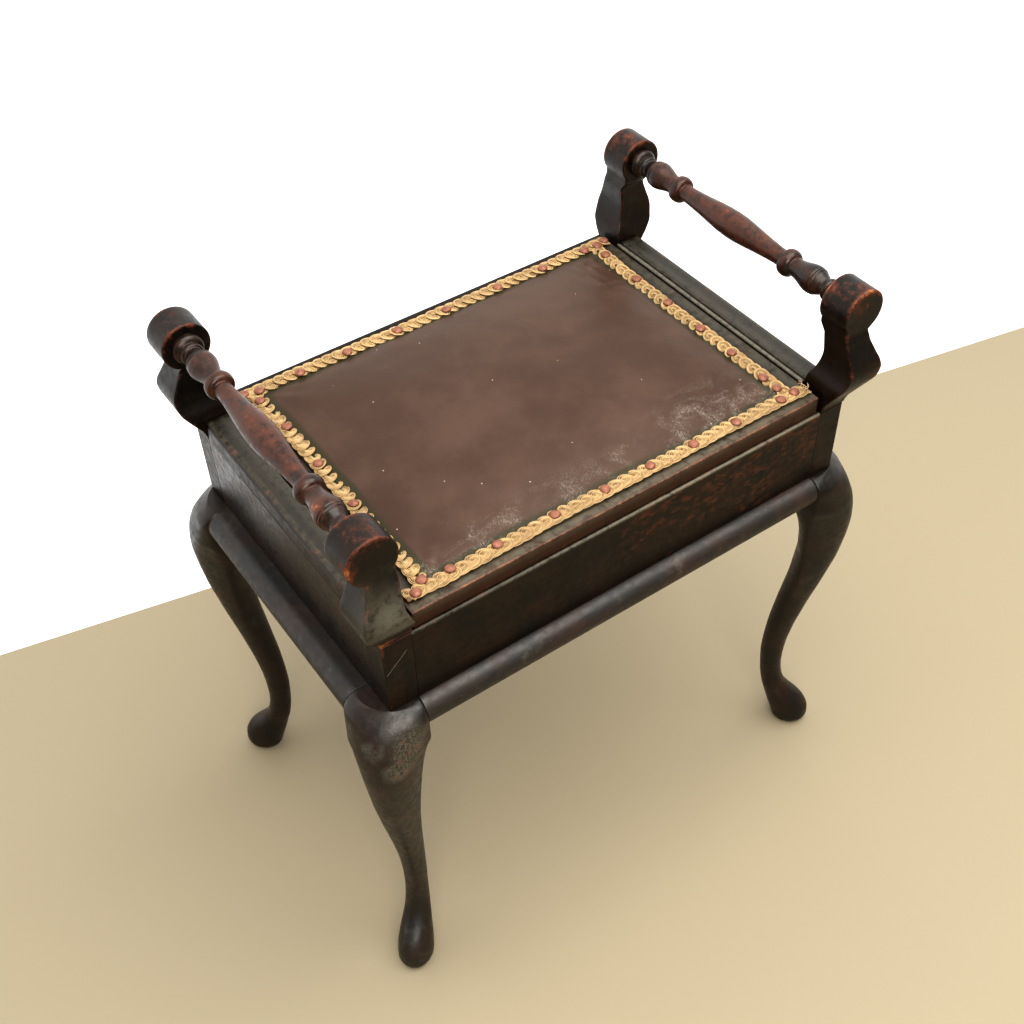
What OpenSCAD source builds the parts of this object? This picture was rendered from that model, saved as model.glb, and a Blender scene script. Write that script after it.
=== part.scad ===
// Piano bench: a music box with a hinged, upholstered lid on four cabriole legs.
// Origin on the floor under the middle of the bench. X runs to the right, Y to the
// back and Z up, in millimetres.

/* [Music box] */
// Width of the box over its end boards
box_w = 500; // [440:1:600]
// Depth of the box over its front and back boards
box_d = 332; // [300:1:400]
// Height of the box boards
box_h = 82; // [70:1:110]
// Side of the square corner posts
post = 28; // [26:0.5:32]
// Thickness of the box boards
board_t = 16; // [12:0.5:18]
// Thickness of the loose bottom board
bottom_t = 6; // [4:0.5:8]

/* [Leg frame] */
// Height of the leg frame, floor to the underside of the box
leg_h = 408; // [380:1:440]
// Half the side of the square knee block
knee_half = 26; // [25:0.5:28]
// Radius of the rounded rails, which is half their height
rail_r = 15; // [13:0.5:16]
// How far a foot's middle stands outside the box corner
foot_out = 13; // [10:0.5:16]

/* [Lid and seat] */
// Thickness of the lid board
lid_t = 18; // [15:0.5:20]
// Gap around the lid
lid_gap = 1; // [0.8:0.1:2]
// Height of the stuffing at its crown
crown_h = 17; // [8:0.5:24]
// Thickness of the leather
leather_t = 1.5; // [1:0.1:2]
// Width of the gimp braid
gimp_w = 15; // [12:0.5:18]
// Diameter of an upholstery nail's head
nail_d = 10; // [8:0.5:12]
// How far the front and back lengths of gimp run past the side lengths
gimp_run = 12; // [0:1:12]

/* [Handles] */
// Height of a handle's axis above the box
handle_h = 105; // [95:1:130]
// Radius of an upright's round head
head_r = 22.6; // [20:0.1:24]
// How far a head's middle leans out from its post
head_lean = 13; // [8:0.5:16]

/* [Hinges] */
// Length of a hinge
hinge_l = 50; // [40:1:64]
// Distance of each hinge's middle from the middle of the lid
hinge_x = 140; // [100:1:170]
// Angle of the lid, 0 is closed
lid_angle = 0; // [0:1:98]

/* [Hidden] */
$fn = 48;

EBONY = [0.11, 0.09, 0.08];
WORN = [0.20, 0.11, 0.08];
PINE = [0.62, 0.47, 0.30];
BRASS = [0.70, 0.55, 0.28];
STEEL = [0.45, 0.44, 0.42];
LEATHER = [0.25, 0.16, 0.13];
STRAW = [0.78, 0.60, 0.30];
COPPER = [0.52, 0.28, 0.19];
HAIR = [0.35, 0.30, 0.24];

SIDES = [-1, 1];
half_w = box_w / 2;
half_d = box_d / 2;
box_top = leg_h + box_h;
post_x = half_w - post / 2;
post_y = half_d - post / 2;

// Feet and knees. The knee block is set back from the foot along the diagonal.
foot_narrowing = 10;
foot_x = half_w + foot_out;
foot_y = half_d + foot_out - foot_narrowing;
knee_back = 14.5;
block_mid = -knee_back * sqrt(2);
knee_x = foot_x - knee_back;
knee_y = foot_y - knee_back;
rail_end_x = knee_x - knee_half;
rail_end_y = knee_y - knee_half;
rail_out_x = knee_x + knee_half;
rail_out_y = knee_y + knee_half;
rail_mid = leg_h - rail_r;
rail_tenon = 17;
tenon_t = 10;

// Leg stations, floor to knee, along the diagonal that runs outwards through the
// foot: height, outer reach, inner reach, place of the widest point, half the width
// there, roundness of the outer side (2 is round), squareness of the inner side.
LEG = [
    [0, 10, -18, -4, 12.5, 2, 0], [3, 15.5, -23, -4, 16.5, 2, 0],
    [9, 17.5, -25, -4, 18.4, 2, 0], [20, 16.5, -28.5, -7, 18.2, 2, 0],
    [30, 12, -32, -11, 17.4, 2, 0], [38, 6, -34.5, -15, 16.2, 2, 0],
    [48, -5.5, -37.5, -21.5, 14.6, 2, 0], [59, -15, -41, -28, 13, 2, 0],
    [76, -20.3, -44.2, -32.3, 11.9, 2, 0], [94, -22.6, -46, -34.3, 11.4, 2, 0],
    [114, -22.4, -47.4, -35, 11.6, 2, 0], [136, -20.8, -46.8, -34, 12, 2, 0],
    [166, -15.7, -44.3, -31, 13.2, 2, 0], [205, -6.6, -38.6, -25, 15.5, 2, 0],
    [243, 3.8, -31.8, -20.5, 18.4, 2, 0], [284, 14, -27.5, -20, 22, 2, 0],
    [315, 18.4, -29.5, -21, 25.4, 2, 0.05], [337, 20.1, -34.5, -21.2, 28.6, 1.95, 0.2],
    [356, 18.8, -45, -20.8, 33, 1.8, 0.7], [370, 15.9, -57.3, -20.5, 36.8, 1.65, 1],
    [385, 9.8, -57.3, -20.5, 36.8, 1.65, 1], [393, 4, -57.3, -20.5, 36.8, 1.8, 1],
    [398, -0.9, -57.3, -21.1, 36.2, 1.9, 1], [408, -12, -57.3, -31.1, 26.2, 1.9, 1]
];
LEG_DESIGN_H = 408;

// Upright stations above the box: height, reach inwards and outwards from the
// post's middle across the bench, then the same two from front to back.
UPRIGHT = [
    [0, 14, 14, 14, 14],
    [10, 14, 17, 14, 17],
    [22, 13.4, 25, 13.4, 24.5],
    [31, 11.4, 30.8, 11.6, 30],
    [34, 9.6, 32.2, 10, 31.4],
    [40, 6.6, 33.7, 7.6, 32.8],
    [46, 4.6, 34.4, 6.4, 33.4],
    [54, 3.2, 32.6, 5.6, 31.6],
    [60, 3.4, 29.8, 5.8, 29],
    [75, 5.4, 23.6, 6.4, 23],
    [90, 5.2, 21.4, 8.5, 19.8],
    [105, 5.2, 21.4, 12, 19.6]
];
head_in = 13;
head_out = 19.6;
axis_z = box_top + handle_h;
axis_x = post_x + head_lean;
head_face_y = post_y - head_in;
handle_tenon_r = 8;
handle_tenon_l = 20;

// Handle stations from the middle of the handle: distance, radius.
HANDLE_DESIGN_L = 139;
HANDLE = [
    [0, 13.1], [12, 12.7], [24, 11.6], [40, 9.9], [55, 8.6], [66, 8.1], [70, 8.1],
    [71, 10.2], [73, 12.2], [76.5, 13.1], [80, 12.3], [82.5, 10.6], [84, 8.9],
    [87, 8.9], [91, 9.4], [97, 10.9], [103, 12.6], [107.5, 13.3], [111, 13.1],
    [112.2, 12.3], [113.6, 12.6], [115.4, 11.9], [116.4, 11.1], [118, 10.5],
    [120.5, 9.2], [123.5, 8.4], [125.5, 8.5], [126.4, 9.7], [128.4, 10.5],
    [130.4, 9.7], [131.2, 10.3], [132.6, 12.6], [134.6, 14.1], [137, 14.4]
];

// Lid
cap_t = lid_gap + lid_t + 1;
cap_gap = 2;
cap_in_x = half_w - post - 1.5;
lid_x = cap_in_x - cap_gap;
lid_y0 = -half_d + 2.5;
lid_y1 = half_d - 0.5;
lid_z0 = box_top + lid_gap;
lid_z1 = lid_z0 + lid_t;
edge_r = 2.5;

// Hinges: the axis lies behind the box and in the middle of the lid's gap.
leaf_t = 1.5;
leaf_w = 13;
knuckle_r = 3;
pin_r = 1.4;
axis_y = half_d + knuckle_r + 0.6;
hinge_z = box_top + lid_gap / 2;
knuckles = 5;
leaf_play = 0.2;
pin_play = 0.05;
knuckle_play = 0.4;

// Seat: the gimp follows the edge of the leather.
gimp_side = half_w - 53.5;
gimp_front = half_d - 17.5;
gimp_t = 2.2;
seat_side = gimp_side + gimp_w / 2 - 2;
seat_front = gimp_front + gimp_w / 2 - 2;
pad_side = gimp_side - gimp_w / 2;
pad_front = gimp_front - gimp_w / 2;
seat_edge_h = 0.8;
seat_nx = 28;
seat_ny = 20;
seat_power = 3.2;
seat_roundness = 0.8;

screw_r = 2;
dowel_r = 5;
dowel_l = 40;
tongue_l = 8;
tongue_t = 6;
tongue_inset = 8;
cleat = 12;
bottom_z = leg_h + cleat;

// A smooth value from a table of stations, column c, at height h.
function column(table, c) = [for (row = table) [row[0], row[c]]];
function eased(pairs, h, reach) =
    (lookup(h - reach, pairs) + 2 * lookup(h, pairs) + lookup(h + reach, pairs)) / 4;
function arc(cx, cy, r, a0, a1, n = 8) =
    [for (i = [0:n]) let (a = a0 + (a1 - a0) * i / n) [cx + r * cos(a), cy + r * sin(a)]];

// ---- legs -----------------------------------------------------------------

LEG_SIDES = 32;
LEG_LEVELS = [
    0, 3, 9, 15, 21, 27, 33, 39, 45, 52, 60, 70, 82, 96, 112, 130, 150, 172, 196, 220,
    244, 266, 286, 304, 320, 334, 347, 359
];
BLOCK_TOP = 393;
BLOCK_LEVELS = [370, 378, 386, BLOCK_TOP];
KNEE_STEPS = 5;
knee_roundness = 1.9;

// Reach of a rounded outline towards angle a, between half axes p and q.
function reach_at(a, p, q, n) = pow(pow(abs(cos(a)) / p, n) + pow(abs(sin(a)) / q, n), -1 / n);

// One ring of the leg around height h, from the seven values of a station.
function ring_at(h, outer, inner, mid, half, n_out, square) = [
    for (i = [0:LEG_SIDES - 1])
        let (
            a = 360 * i / LEG_SIDES,
            depth = cos(a) > 0 ? outer - mid : mid - inner,
            r = reach_at(a, depth, half, cos(a) > 0 ? n_out : 2 - square),
            s = (mid + r * cos(a)) / sqrt(2),
            t = r * sin(a) / sqrt(2)
        ) [s - t, s + t, h]
];
function leg_ring(h) =
    let (
        reach = h < 60 ? 2 : 7,
        v = [for (c = [1:6]) eased(column(LEG, c), h, reach)]
    ) ring_at(h * rail_mid / BLOCK_TOP, v[0], v[1], v[2], v[3], v[4], v[5]);
// The square block behind the knee, where the rails come in, has true flat sides.
knee_corner = knee_half * sqrt(2);
function block_ring(h) =
    ring_at(
        rail_mid - (BLOCK_TOP - h), lookup(h, column(LEG, 1)), block_mid - knee_corner,
        block_mid, knee_corner, lookup(h, column(LEG, 5)), 1
    );
// Its top turns over by the same quarter round as the rails.
function knee_ring(i) =
    let (
        a = 90 * i / KNEE_STEPS,
        shift = rail_r * (1 - cos(a)) / sqrt(2),
        outer = lookup(BLOCK_TOP + (LEG_DESIGN_H - BLOCK_TOP) * sin(a), column(LEG, 1))
    ) ring_at(
        rail_mid + rail_r * sin(a), outer, block_mid - knee_corner,
        block_mid - shift, knee_corner - shift, knee_roundness, 1
    );

function strip_faces(rings, sides) = [
    for (k = [0:rings - 2], i = [0:sides - 1])
        let (j = (i + 1) % sides)
            [k * sides + i, (k + 1) * sides + i, (k + 1) * sides + j, k * sides + j]
];

module leg_shape() {
    rings = concat(
        [for (h = LEG_LEVELS) leg_ring(h)],
        [for (h = BLOCK_LEVELS) block_ring(h)],
        [for (i = [1:KNEE_STEPS]) knee_ring(i)]
    );
    count = len(rings);
    points = [for (ring = rings) each ring];
    faces = concat(
        [[for (i = [0:LEG_SIDES - 1]) i]],
        strip_faces(count, LEG_SIDES),
        [[for (i = [LEG_SIDES - 1:-1:0]) (count - 1) * LEG_SIDES + i]]
    );
    polyhedron(points, faces, convexity = 4);
}

// A leg stands at (sx, sy) times the foot's place, with its knee turned outwards.
module leg(sx, sy) {
    color(EBONY)
        difference() {
            scale([sx, sy, 1]) translate([foot_x, foot_y, 0]) leg_shape();
            tenon_along_x(sx, sy);
            tenon_along_y(sx, sy);
        }
}

// The tenons that the rails put into the knee block of a leg.
module tenon_along_x(sx, sy) {
    translate([sx * (rail_end_x + rail_tenon / 2), sy * (knee_y - tenon_inset), rail_mid])
        cube([rail_tenon, tenon_t, tenon_h], center = true);
}

module tenon_along_y(sx, sy) {
    translate([sx * (knee_x - tenon_inset), sy * (rail_end_y + rail_tenon / 2), rail_mid])
        cube([tenon_t, rail_tenon, tenon_h], center = true);
}

module front_left_leg() leg(-1, -1);
module front_right_leg() leg(1, -1);
module back_left_leg() leg(-1, 1);
module back_right_leg() leg(1, 1);

// ---- rails ----------------------------------------------------------------

// The inner face of the rails, set in from the middle of the knee block.
rail_inset = 12;
rail_in_x = knee_x - rail_inset;
rail_in_y = knee_y - rail_inset;
tenon_inset = 3;
tenon_h = rail_r * 1.4;

// Section of a rail: flat inside, half round outside.
module rail_section(inner, outer) {
    translate([outer - rail_r, 0]) circle(r = rail_r);
    translate([inner, -rail_r]) square([outer - rail_r - inner, 2 * rail_r]);
}

module rail_front_or_back(sy) {
    color(EBONY)
        difference() {
            union() {
                translate([-rail_end_x, 0, rail_mid])
                    rotate([90, 0, 90])
                        linear_extrude(2 * rail_end_x)
                            mirror([sy < 0 ? 1 : 0, 0])
                                rail_section(rail_in_y, rail_out_y);
                for (sx = SIDES) tenon_along_x(sx, sy);
            }
            box_screw_shanks();
        }
}

module rail_side(sx) {
    color(EBONY)
        difference() {
            union() {
                translate([0, rail_end_y, rail_mid])
                    rotate([90, 0, 0])
                        linear_extrude(2 * rail_end_y)
                            mirror([sx < 0 ? 1 : 0, 0])
                                rail_section(rail_in_x, rail_out_x);
                for (sy = SIDES) tenon_along_y(sx, sy);
            }
            box_screw_shanks();
        }
}

module front_rail() rail_front_or_back(-1);
module back_rail() rail_front_or_back(1);
module left_rail() rail_side(-1);
module right_rail() rail_side(1);

// ---- box ------------------------------------------------------------------

SCREW_X = [-140, 0, 140];
SCREW_Y = [-75, 75];
screw_reach = 22;
screw_head_r = 4;
screw_head_h = 3;

module one_box_screw() {
    translate([0, 0, leg_h - 2 * rail_r])
        cylinder(r1 = screw_head_r, r2 = screw_r, h = screw_head_h);
    translate([0, 0, leg_h - 2 * rail_r])
        cylinder(r = screw_r, h = 2 * rail_r + screw_reach);
}

// Places of the screws that hold the box on its leg frame.
module box_screw_shanks() {
    for (sy = SIDES, x = SCREW_X)
        translate([x, sy * (half_d - board_t / 2), 0]) one_box_screw();
    for (sx = SIDES, y = SCREW_Y)
        translate([sx * (half_w - board_t / 2), y, 0]) one_box_screw();
}

module box_screws() color(STEEL) box_screw_shanks();

tongue_h = box_h - 2 * tongue_inset;

// The tongues that a front or back board, and an end board, put into a post.
module tongue_along_x(sx, sy) {
    x = half_w - post + tongue_l / 2;
    translate([sx * x, sy * (half_d - board_t / 2), leg_h + box_h / 2])
        cube([tongue_l, tongue_t, tongue_h], center = true);
}

module tongue_along_y(sx, sy) {
    y = half_d - post + tongue_l / 2;
    translate([sx * (half_w - board_t / 2), sy * y, leg_h + box_h / 2])
        cube([tongue_t, tongue_l, tongue_h], center = true);
}

module corner_post(sx, sy) {
    color(EBONY)
        difference() {
            translate([sx * post_x, sy * post_y, leg_h + box_h / 2])
                cube([post, post, box_h], center = true);
            tongue_along_x(sx, sy);
            tongue_along_y(sx, sy);
            dowel_at(sx, sy);
        }
}

module front_left_post() corner_post(-1, -1);
module front_right_post() corner_post(1, -1);
module back_left_post() corner_post(-1, 1);
module back_right_post() corner_post(1, 1);

// Section of a box board, its outer face at 0, with a softened outer top edge.
module board_section() {
    polygon(concat(
        [[-board_t, 0], [0, 0]],
        arc(-edge_r, box_h - edge_r, edge_r, 0, 90),
        [[-board_t, box_h]]
    ));
}

module long_board(sy) {
    length = box_w - 2 * post;
    translate([-sy * length / 2, sy * half_d, leg_h])
        rotate([90, 0, sy > 0 ? 90 : -90])
            linear_extrude(length) board_section();
    for (sx = SIDES) tongue_along_x(sx, sy);
}

module front_board() {
    color(EBONY)
        difference() {
            long_board(-1);
            box_screw_shanks();
        }
}

module back_board() {
    color(EBONY)
        difference() {
            long_board(1);
            box_screw_shanks();
            for (s = SIDES) {
                box_leaf_recess(s);
                leaf_screws(s, -1);
            }
        }
}

module end_board(sx) {
    length = box_d - 2 * post;
    color(EBONY)
        difference() {
            union() {
                translate([sx * (half_w - board_t / 2), 0, leg_h + box_h / 2])
                    cube([board_t, length, box_h], center = true);
                for (sy = SIDES) tongue_along_y(sx, sy);
            }
            box_screw_shanks();
        }
}

module left_end_board() end_board(-1);
module right_end_board() end_board(1);

module bottom_board() {
    play = 0.5;
    w = box_w - 2 * board_t - 2 * play;
    d = box_d - 2 * board_t - 2 * play;
    color(PINE)
        difference() {
            translate([-w / 2, -d / 2, bottom_z]) cube([w, d, bottom_t]);
            for (sx = SIDES, sy = SIDES)
                translate([sx * post_x, sy * post_y, bottom_z])
                    cube([post + 2 * play, post + 2 * play, 4 * bottom_t], center = true);
        }
}

module long_cleat(sy) {
    color(PINE)
        translate([0, sy * (half_d - board_t - cleat / 2), leg_h + cleat / 2])
            cube([box_w - 2 * post, cleat, cleat], center = true);
}

module short_cleat(sx) {
    color(PINE)
        translate([sx * (half_w - board_t - cleat / 2), 0, leg_h + cleat / 2])
            cube([cleat, box_d - 2 * post, cleat], center = true);
}

module front_cleat() long_cleat(-1);
module back_cleat() long_cleat(1);
module left_cleat() short_cleat(-1);
module right_cleat() short_cleat(1);

// End cap: fills the space between the uprights, level with the lid. A bead with
// a quirk runs along its inner edge and its outer edge is rounded.
bead_r = 2.6;
quirk = 1.2;
cap_edge_r = 5;

module cap_section() {
    w = half_w - cap_in_x;
    difference() {
        union() {
            square([w, cap_t - bead_r]);
            translate([bead_r, cap_t - bead_r]) circle(r = bead_r);
            translate([2 * bead_r + quirk, 0])
                square([w - 2 * bead_r - quirk - cap_edge_r, cap_t]);
            translate([w - cap_edge_r, cap_t - cap_edge_r]) circle(r = cap_edge_r);
        }
        translate([w - cap_edge_r, cap_t - cap_edge_r])
            difference() {
                square(2 * cap_edge_r);
                circle(r = cap_edge_r);
            }
    }
}

module end_cap(sx) {
    length = box_d - 2 * post;
    color(EBONY)
        translate([sx * cap_in_x, length / 2, box_top])
            rotate([90, 0, 0])
                linear_extrude(length)
                    mirror([sx < 0 ? 1 : 0, 0])
                        cap_section();
}

module left_end_cap() end_cap(-1);
module right_end_cap() end_cap(1);

// ---- handles --------------------------------------------------------------

module dowel_at(sx, sy) {
    translate([sx * post_x, sy * post_y, box_top - dowel_l / 2]) cylinder(r = dowel_r, h = dowel_l);
}

module upright_dowels() color(PINE) for (sx = SIDES, sy = SIDES) dowel_at(sx, sy);

UPRIGHT_STEPS = 42;
UPRIGHT_DESIGN_H = 105;
upright_ease = 3;

// Side view of an upright's stem, between the inward and outward reach columns.
function reach_points(inward, outward) = concat(
    [for (i = [0:UPRIGHT_STEPS])
        let (t = i / UPRIGHT_STEPS)
            [-eased(column(UPRIGHT, inward), t * UPRIGHT_DESIGN_H, upright_ease), t * handle_h]],
    [for (i = [UPRIGHT_STEPS:-1:0])
        let (t = i / UPRIGHT_STEPS)
            [eased(column(UPRIGHT, outward), t * UPRIGHT_DESIGN_H, upright_ease), t * handle_h]]
);

module upright_shape() {
    wide = 60;
    intersection() {
        translate([0, wide / 2, 0])
            rotate([90, 0, 0])
                linear_extrude(2 * wide, center = true)
                    polygon(reach_points(1, 2));
        rotate([90, 0, 90])
            linear_extrude(2 * wide, center = true)
                polygon(reach_points(3, 4));
    }
    translate([head_lean, head_out, handle_h])
        rotate([90, 0, 0])
            cylinder(r = head_r, h = head_in + head_out, $fn = 96);
}

module upright(sx, sy) {
    color(WORN)
        difference() {
            translate([sx * post_x, sy * post_y, box_top])
                mirror([sx < 0 ? 1 : 0, 0, 0])
                    mirror([0, sy < 0 ? 1 : 0, 0])
                        upright_shape();
            dowel_at(sx, sy);
            handle_tenon(sx);
        }
}

module handle_tenon(sx) {
    translate([sx * axis_x, head_face_y + handle_tenon_l, axis_z])
        rotate([90, 0, 0])
            cylinder(r = handle_tenon_r, h = 2 * (head_face_y + handle_tenon_l));
}

module front_left_upright() upright(-1, -1);
module front_right_upright() upright(1, -1);
module back_left_upright() upright(-1, 1);
module back_right_upright() upright(1, 1);

// The turned handle is one piece, with a tenon in each upright's head.
module handle(sx) {
    last = len(HANDLE) - 1;
    k = head_face_y / HANDLE_DESIGN_L;
    half = [for (row = HANDLE) [row[1], row[0] * k]];
    profile = concat(
        [[0, -head_face_y], [HANDLE[last][1], -head_face_y]],
        [for (i = [last:-1:1]) [half[i][0], -half[i][1]]],
        half,
        [[HANDLE[last][1], head_face_y], [0, head_face_y]]
    );
    color(WORN) {
        translate([sx * axis_x, 0, axis_z])
            rotate([90, 0, 0])
                rotate_extrude() polygon(profile);
        handle_tenon(sx);
    }
}

module left_handle() handle(-1);
module right_handle() handle(1);

// ---- hinges ---------------------------------------------------------------

// Knuckle k of a hinge, counted from its left end.
module knuckle(k) {
    pitch = hinge_l / knuckles;
    translate([-hinge_l / 2 + k * pitch + leaf_play / 2, axis_y, hinge_z])
        rotate([0, 90, 0])
            cylinder(r = knuckle_r, h = pitch - leaf_play);
}

// A hinge pin is held in the box leaf, and the lid leaf turns on it with some play.
module pin_at(s, play = 0) {
    translate([s * hinge_x - hinge_l / 2, axis_y, hinge_z])
        rotate([0, 90, 0])
            cylinder(r = pin_r + play, h = hinge_l);
}

// A leaf reaches forwards from the axis. The box leaf has the outer and the middle
// knuckle, the lid leaf the two between them.
module leaf(s, side) {
    z = side < 0 ? box_top - leaf_t : lid_z0;
    first = side < 0 ? 0 : 1;
    pitch = hinge_l / knuckles;
    difference() {
        translate([s * hinge_x, 0, 0]) {
            translate([-hinge_l / 2, axis_y - leaf_w, z])
                cube([hinge_l, leaf_w - knuckle_r - knuckle_play, leaf_t]);
            for (k = [first:2:knuckles - 1]) {
                knuckle(k);
                translate([-hinge_l / 2 + k * pitch + leaf_play / 2, axis_y - knuckle_r - 1, z])
                    cube([pitch - leaf_play, knuckle_r + 1, leaf_t]);
            }
        }
        pin_at(s, side < 0 ? 0 : pin_play);
        leaf_screws(s, side);
    }
}

LEAF_SCREW_X = [-17, 0, 17];
leaf_screw_l = 12;
leaf_screw_r = 1.2;
leaf_screw_head_r = 2.6;
leaf_screw_inset = 4.5;

// Three countersunk screws hold each leaf. side is -1 for the box, 1 for the lid.
module leaf_screws(s, side) {
    z = side < 0 ? box_top : lid_z0;
    for (x = LEAF_SCREW_X)
        translate([s * hinge_x + x, axis_y - leaf_w + leaf_screw_inset, z])
            rotate([side < 0 ? 180 : 0, 0, 0]) {
                cylinder(r1 = leaf_screw_head_r, r2 = leaf_screw_r, h = leaf_t);
                cylinder(r = leaf_screw_r, h = leaf_screw_l);
            }
}

module box_leaf_recess(s) {
    translate([s * hinge_x - hinge_l / 2, axis_y - leaf_w, box_top - leaf_t])
        cube([hinge_l, leaf_w, 2 * leaf_t]);
}

module lid_leaf_recess(s) {
    translate([s * hinge_x - hinge_l / 2, axis_y - leaf_w, lid_z0 - leaf_t])
        cube([hinge_l, leaf_w, 2 * leaf_t]);
}

module left_hinge_box_leaf() color(BRASS) leaf(-1, -1);
module right_hinge_box_leaf() color(BRASS) leaf(1, -1);
module left_hinge_pin() color(BRASS) pin_at(-1);
module right_hinge_pin() color(BRASS) pin_at(1);
module hinge_box_screws() color(BRASS) for (s = SIDES) leaf_screws(s, -1);

// ---- lid ------------------------------------------------------------------

// Everything in here turns with the lid about the hinge axis.
module on_lid() {
    translate([0, axis_y, hinge_z])
        rotate([-lid_angle, 0, 0])
            translate([0, -axis_y, -hinge_z])
                children();
}

module lid_section() {
    polygon(concat(
        [[lid_y0, lid_z0], [lid_y1, lid_z0]],
        arc(lid_y1 - edge_r, lid_z1 - edge_r, edge_r, 0, 90),
        arc(lid_y0 + edge_r, lid_z1 - edge_r, edge_r, 90, 180)
    ));
}

module lid_board() {
    color(EBONY)
        on_lid()
            difference() {
                translate([-lid_x, 0, 0])
                    rotate([90, 0, 90])
                        linear_extrude(2 * lid_x) lid_section();
                for (s = SIDES) {
                    lid_leaf_recess(s);
                    leaf_screws(s, 1);
                }
            }
}

module left_hinge_lid_leaf() color(BRASS) on_lid() leaf(-1, 1);
module right_hinge_lid_leaf() color(BRASS) on_lid() leaf(1, 1);
module hinge_lid_screws() color(BRASS) on_lid() for (s = SIDES) leaf_screws(s, 1);

// Height of the stuffing above the lid board: a low crown that falls to a thin
// edge under the gimp.
function fall(u) = 1 - pow(min(1, abs(u)), seat_power);
function stuffing_h(x, y) =
    seat_edge_h + crown_h * pow(fall(x / pad_side) * fall(y / pad_front), seat_roundness);

// Grid lines across the seat: one at each rim, the rest over the crown, where they
// crowd towards its edge, because it bends most there.
function seat_lines(rim, pad, n) =
    concat([-rim], [for (i = [0:n - 2]) pad * sin(90 * (2 * i / (n - 2) - 1))], [rim]);
SEAT_X = seat_lines(seat_side, pad_side, seat_nx);
SEAT_Y = seat_lines(seat_front, pad_front, seat_ny);
function seat_grid(lift) = [for (y = SEAT_Y, x = SEAT_X) [x, y, lid_z1 + stuffing_h(x, y) + lift]];
SEAT_FLOOR = [for (y = SEAT_Y, x = SEAT_X) [x, y, lid_z1]];

// A closed solid between two seat grids. Each cell is split along the same diagonal
// above and below, so that the leather lies on the stuffing without a gap.
module between_grids(low, high) {
    nx = seat_nx + 1;
    ny = seat_ny + 1;
    n = nx * ny;
    halves = [
        for (j = [0:ny - 2], i = [0:nx - 2], upper = [false, true])
            let (a = j * nx + i) upper ? [a, a + nx, a + nx + 1] : [a, a + nx + 1, a + 1]
    ];
    rim = concat(
        [for (i = [0:nx - 2]) [i, i + 1]],
        [for (j = [0:ny - 2]) [j * nx + nx - 1, (j + 1) * nx + nx - 1]],
        [for (i = [nx - 1:-1:1]) [(ny - 1) * nx + i, (ny - 1) * nx + i - 1]],
        [for (j = [ny - 1:-1:1]) [j * nx, (j - 1) * nx]]
    );
    polyhedron(
        concat(low, high),
        concat(
            [for (h = halves) [h[2], h[1], h[0]]],
            [for (h = halves) [h[0] + n, h[1] + n, h[2] + n]],
            [for (e = rim) [e[0] + n, e[1] + n, e[1], e[0]]]
        ),
        convexity = 4
    );
}

module seat_stuffing() color(HAIR) on_lid() between_grids(SEAT_FLOOR, seat_grid(0));
module seat_leather() color(LEATHER) on_lid() between_grids(seat_grid(0), seat_grid(leather_t));

gimp_z = lid_z1 + seat_edge_h + leather_t;

// The gimp lies on the leather's edge. Its front and back lengths run on to the
// corners of the lid.
module gimp_braid() {
    color(STRAW)
        on_lid()
            difference() {
                translate([0, 0, gimp_z])
                    linear_extrude(gimp_t) {
                        for (s = SIDES)
                            translate([0, s * gimp_front])
                                square([2 * (gimp_side + gimp_run) + gimp_w, gimp_w], center = true);
                        for (s = SIDES)
                            translate([s * gimp_side, 0])
                                square([gimp_w, 2 * gimp_front], center = true);
                    }
                nail_shanks();
            }
}

// Nails are set by eye, closer together at the corners. Their places are for gimp
// whose middle line is NAIL_DESIGN from the middle of the lid.
NAIL_DESIGN = [196.5, 148.5];
NAIL_PLACES = [
    // back, from left to right
    [-205, 149], [-191, 145], [-148, 146], [-97, 146], [-41, 146], [15, 146],
    [76, 146], [131, 145.5], [184, 145], [200, 144.5], [211, 147.5],
    // right, from back to front
    [197, 126], [196, 74], [196, 25], [195, -25], [194, -71], [193, -116], [193, -134.5],
    // front, from right to left
    [202, -147.5], [185, -148.5], [132, -147.5], [83, -147], [35, -146],
    [-14, -146], [-66, -145], [-124, -145], [-170, -144.5],
    // left, from front to back
    [-206, -150], [-195, -141], [-195, -88], [-195, -34], [-195, 27], [-194, 86], [-197, 132]
];
NAILS = [
    for (p = NAIL_PLACES)
        [p[0] * gimp_side / NAIL_DESIGN[0], p[1] * gimp_front / NAIL_DESIGN[1]]
];
nail_l = 12;
nail_r = 0.9;
nail_h = 2.6;

module nail_shanks() {
    for (p = NAILS)
        translate([p[0], p[1], gimp_z + gimp_t - nail_l]) cylinder(r = nail_r, h = nail_l, $fn = 24);
}

// A nail's head is the cap of a ball.
module nail_head() {
    nail_head_r = nail_d / 2;
    ball_r = (nail_head_r * nail_head_r + nail_h * nail_h) / (2 * nail_h);
    intersection() {
        translate([0, 0, nail_h - ball_r]) sphere(r = ball_r);
        cylinder(d = nail_d, h = nail_h);
    }
}

module upholstery_nails() {
    color(COPPER)
        on_lid() {
            nail_shanks();
            for (p = NAILS) translate([p[0], p[1], gimp_z + gimp_t]) nail_head();
        }
}

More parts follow.
